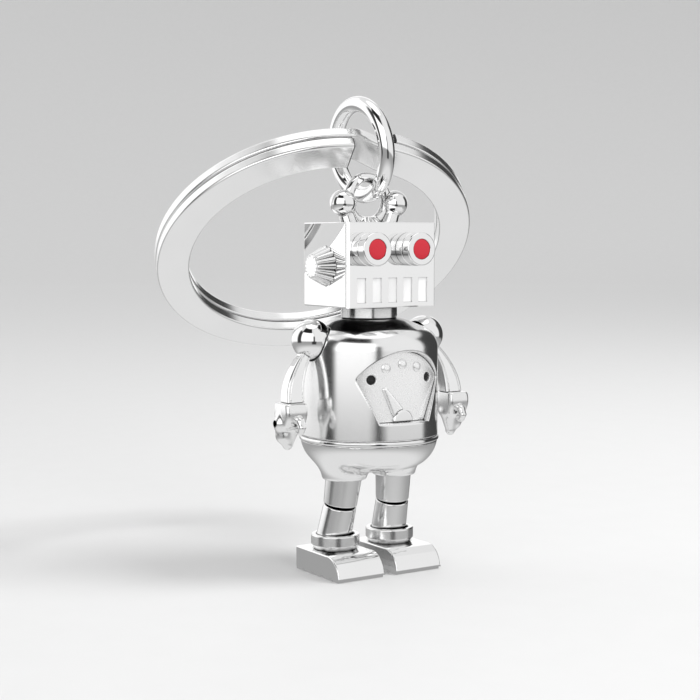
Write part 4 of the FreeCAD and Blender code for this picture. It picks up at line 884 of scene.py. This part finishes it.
def build_stage():
    """A pale round floor that curves up into a wall on every side; it lights nothing else."""
    radius, wall, bend = 1300, 1500, 500
    points, faces, _ = lathe((0, 0, 0), (0, 0, 1), [(radius, wall, 0), (radius, 0, bend), (0, 0, 0)],
                             segments=96, steps=24)
    mesh = bpy.data.meshes.new("studio_floor")
    mesh.from_pydata((points * MM).tolist(), [], faces)
    mesh.shade_smooth()
    mesh.materials.append(finish_material("pale_floor", grey(0.7), grey(0.68), 0.7, 0.0, grey(0.7),
                                          0.0, grain=(300, 300, 300), relief=0.01))
    floor = bpy.data.objects.new("studio_floor", mesh)
    bpy.context.scene.collection.objects.link(floor)
    floor.visible_glossy = floor.visible_diffuse = floor.visible_shadow = False


def build_world():
    """Studio cards around the subject, told apart by direction seen from the camera's side."""
    world = bpy.data.worlds.new("studio")
    bpy.context.scene.world = world
    world.use_nodes = True
    nodes = Nodes(world.node_tree)
    way = nodes.add("ShaderNodeTexCoord").outputs["Generated"]

    def part(direction):
        return nodes.add("ShaderNodeVectorMath", {0: way, 1: direction},
                         operation="DOT_PRODUCT").outputs["Value"]

    right = part((0.84, -0.5426, 0.0))
    near = part((-0.5426, -0.84, 0.0))
    up = part((0.0, 0.0, 1.0))
    turn = nodes.math("MULTIPLY", nodes.math("ARCTAN2", right, near), 180 / math.pi)
    rise = nodes.math("MULTIPLY", nodes.math("ARCSINE", up), 180 / math.pi)
    turn_size = nodes.math("ABSOLUTE", turn)

    def band(value, low, high, soft):
        enter = nodes.fade(value, low - soft / 2, low + soft / 2)
        leave = nodes.fade(value, high - soft / 2, high + soft / 2, 1.0, 0.0)
        return nodes.math("MULTIPLY", enter, leave)

    low_level = nodes.fade(rise, -46.0, -18.0, 0.78, 0.36)
    level = nodes.blend(nodes.fade(rise, -9.5, -3.0), low_level, 0.8)
    cards = (
        # turn from, to, softness, rise from, to, softness, brightness
        (20, 100, 8, -8.5, 60, 6, 0.86),
        (-150, -84, 5, -8, 50, 8, 1.15),
        (-86, -59, 14, -14, 42, 8, 0.05),
        (-58, 11, 8, -5.5, 37, 5, 1.4),
        (-65, 5, 5, 40, 64, 4, 0.02),
        (11, 20, 5, -12, 20, 5, 0.08),
        (3, 28, 9, -24, -7, 4, 0.05),
        (103, 165, 10, -12, 35, 8, 0.05),
    )
    for turn_low, turn_high, turn_soft, rise_low, rise_high, rise_soft, brightness in cards:
        mask = nodes.math("MULTIPLY", band(turn, turn_low, turn_high, turn_soft),
                          band(rise, rise_low, rise_high, rise_soft))
        level = nodes.blend(mask, level, brightness)
    rear = nodes.math("MULTIPLY", nodes.fade(turn_size, 158.0, 164.0), band(rise, 0.0, 40.0, 6.0))
    level = nodes.blend(rear, level, 1.1)
    level = nodes.blend(nodes.fade(rise, 65.0, 69.0), level, 1.3)
    background = nodes.add("ShaderNodeBackground", {"Strength": level})
    background.inputs["Color"].default_value = (1, 1, 1, 1)
    output = nodes.add("ShaderNodeOutputWorld")
    world.node_tree.links.new(background.outputs[0], output.inputs[0])

    for name, place, power in (("soft_key", (0.16, -0.12, 0.3), 0.7),
                               ("front_fill", (-0.02, -0.3, 0.07), 0.3)):
        lamp = bpy.data.lights.new(name, "AREA")
        lamp.shape, lamp.size, lamp.energy = "DISK", 0.14, power
        light = bpy.data.objects.new(name, lamp)
        light.location = place
        aim = Vector((0, 0, 0.01)) - Vector(place)
        light.rotation_euler = aim.to_track_quat("-Z", "Y").to_euler()
        light.visible_glossy = False
        bpy.context.scene.collection.objects.link(light)


def build_camera():
    camera = bpy.data.cameras.new("camera")
    camera.lens, camera.sensor_width = 74.19, 36.0
    camera.clip_start, camera.clip_end = 0.005, 10.0
    item = bpy.data.objects.new("camera", camera)
    item.location = (-0.07492, -0.1127, 0.03147)
    item.rotation_euler = (math.radians(90 - 4.48), 0.0, math.radians(-32.86))
    bpy.context.scene.collection.objects.link(item)
    bpy.context.scene.camera = item
    bpy.context.scene.view_settings.view_transform = "Standard"


# ---------------------------------------------------------------- build

for node_name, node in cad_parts.items():
    slot_name = node.data.materials[0].name.split(".")[0] if node.data.materials else "chrome_plate"
    node.data.materials.clear()
    node.data.materials.append(HEAD if node_name in ("head_shell", "face_plate")
                               else SLOTS.get(slot_name, CHROME))

build_eyes()
build_ears()
build_antennas()
build_hanging_eye()
build_connector_ring()
build_split_ring()
build_torso()
build_gauge()
build_collar()
build_arms()
build_pelvis()
build_legs()
build_stage()
build_world()
build_camera()
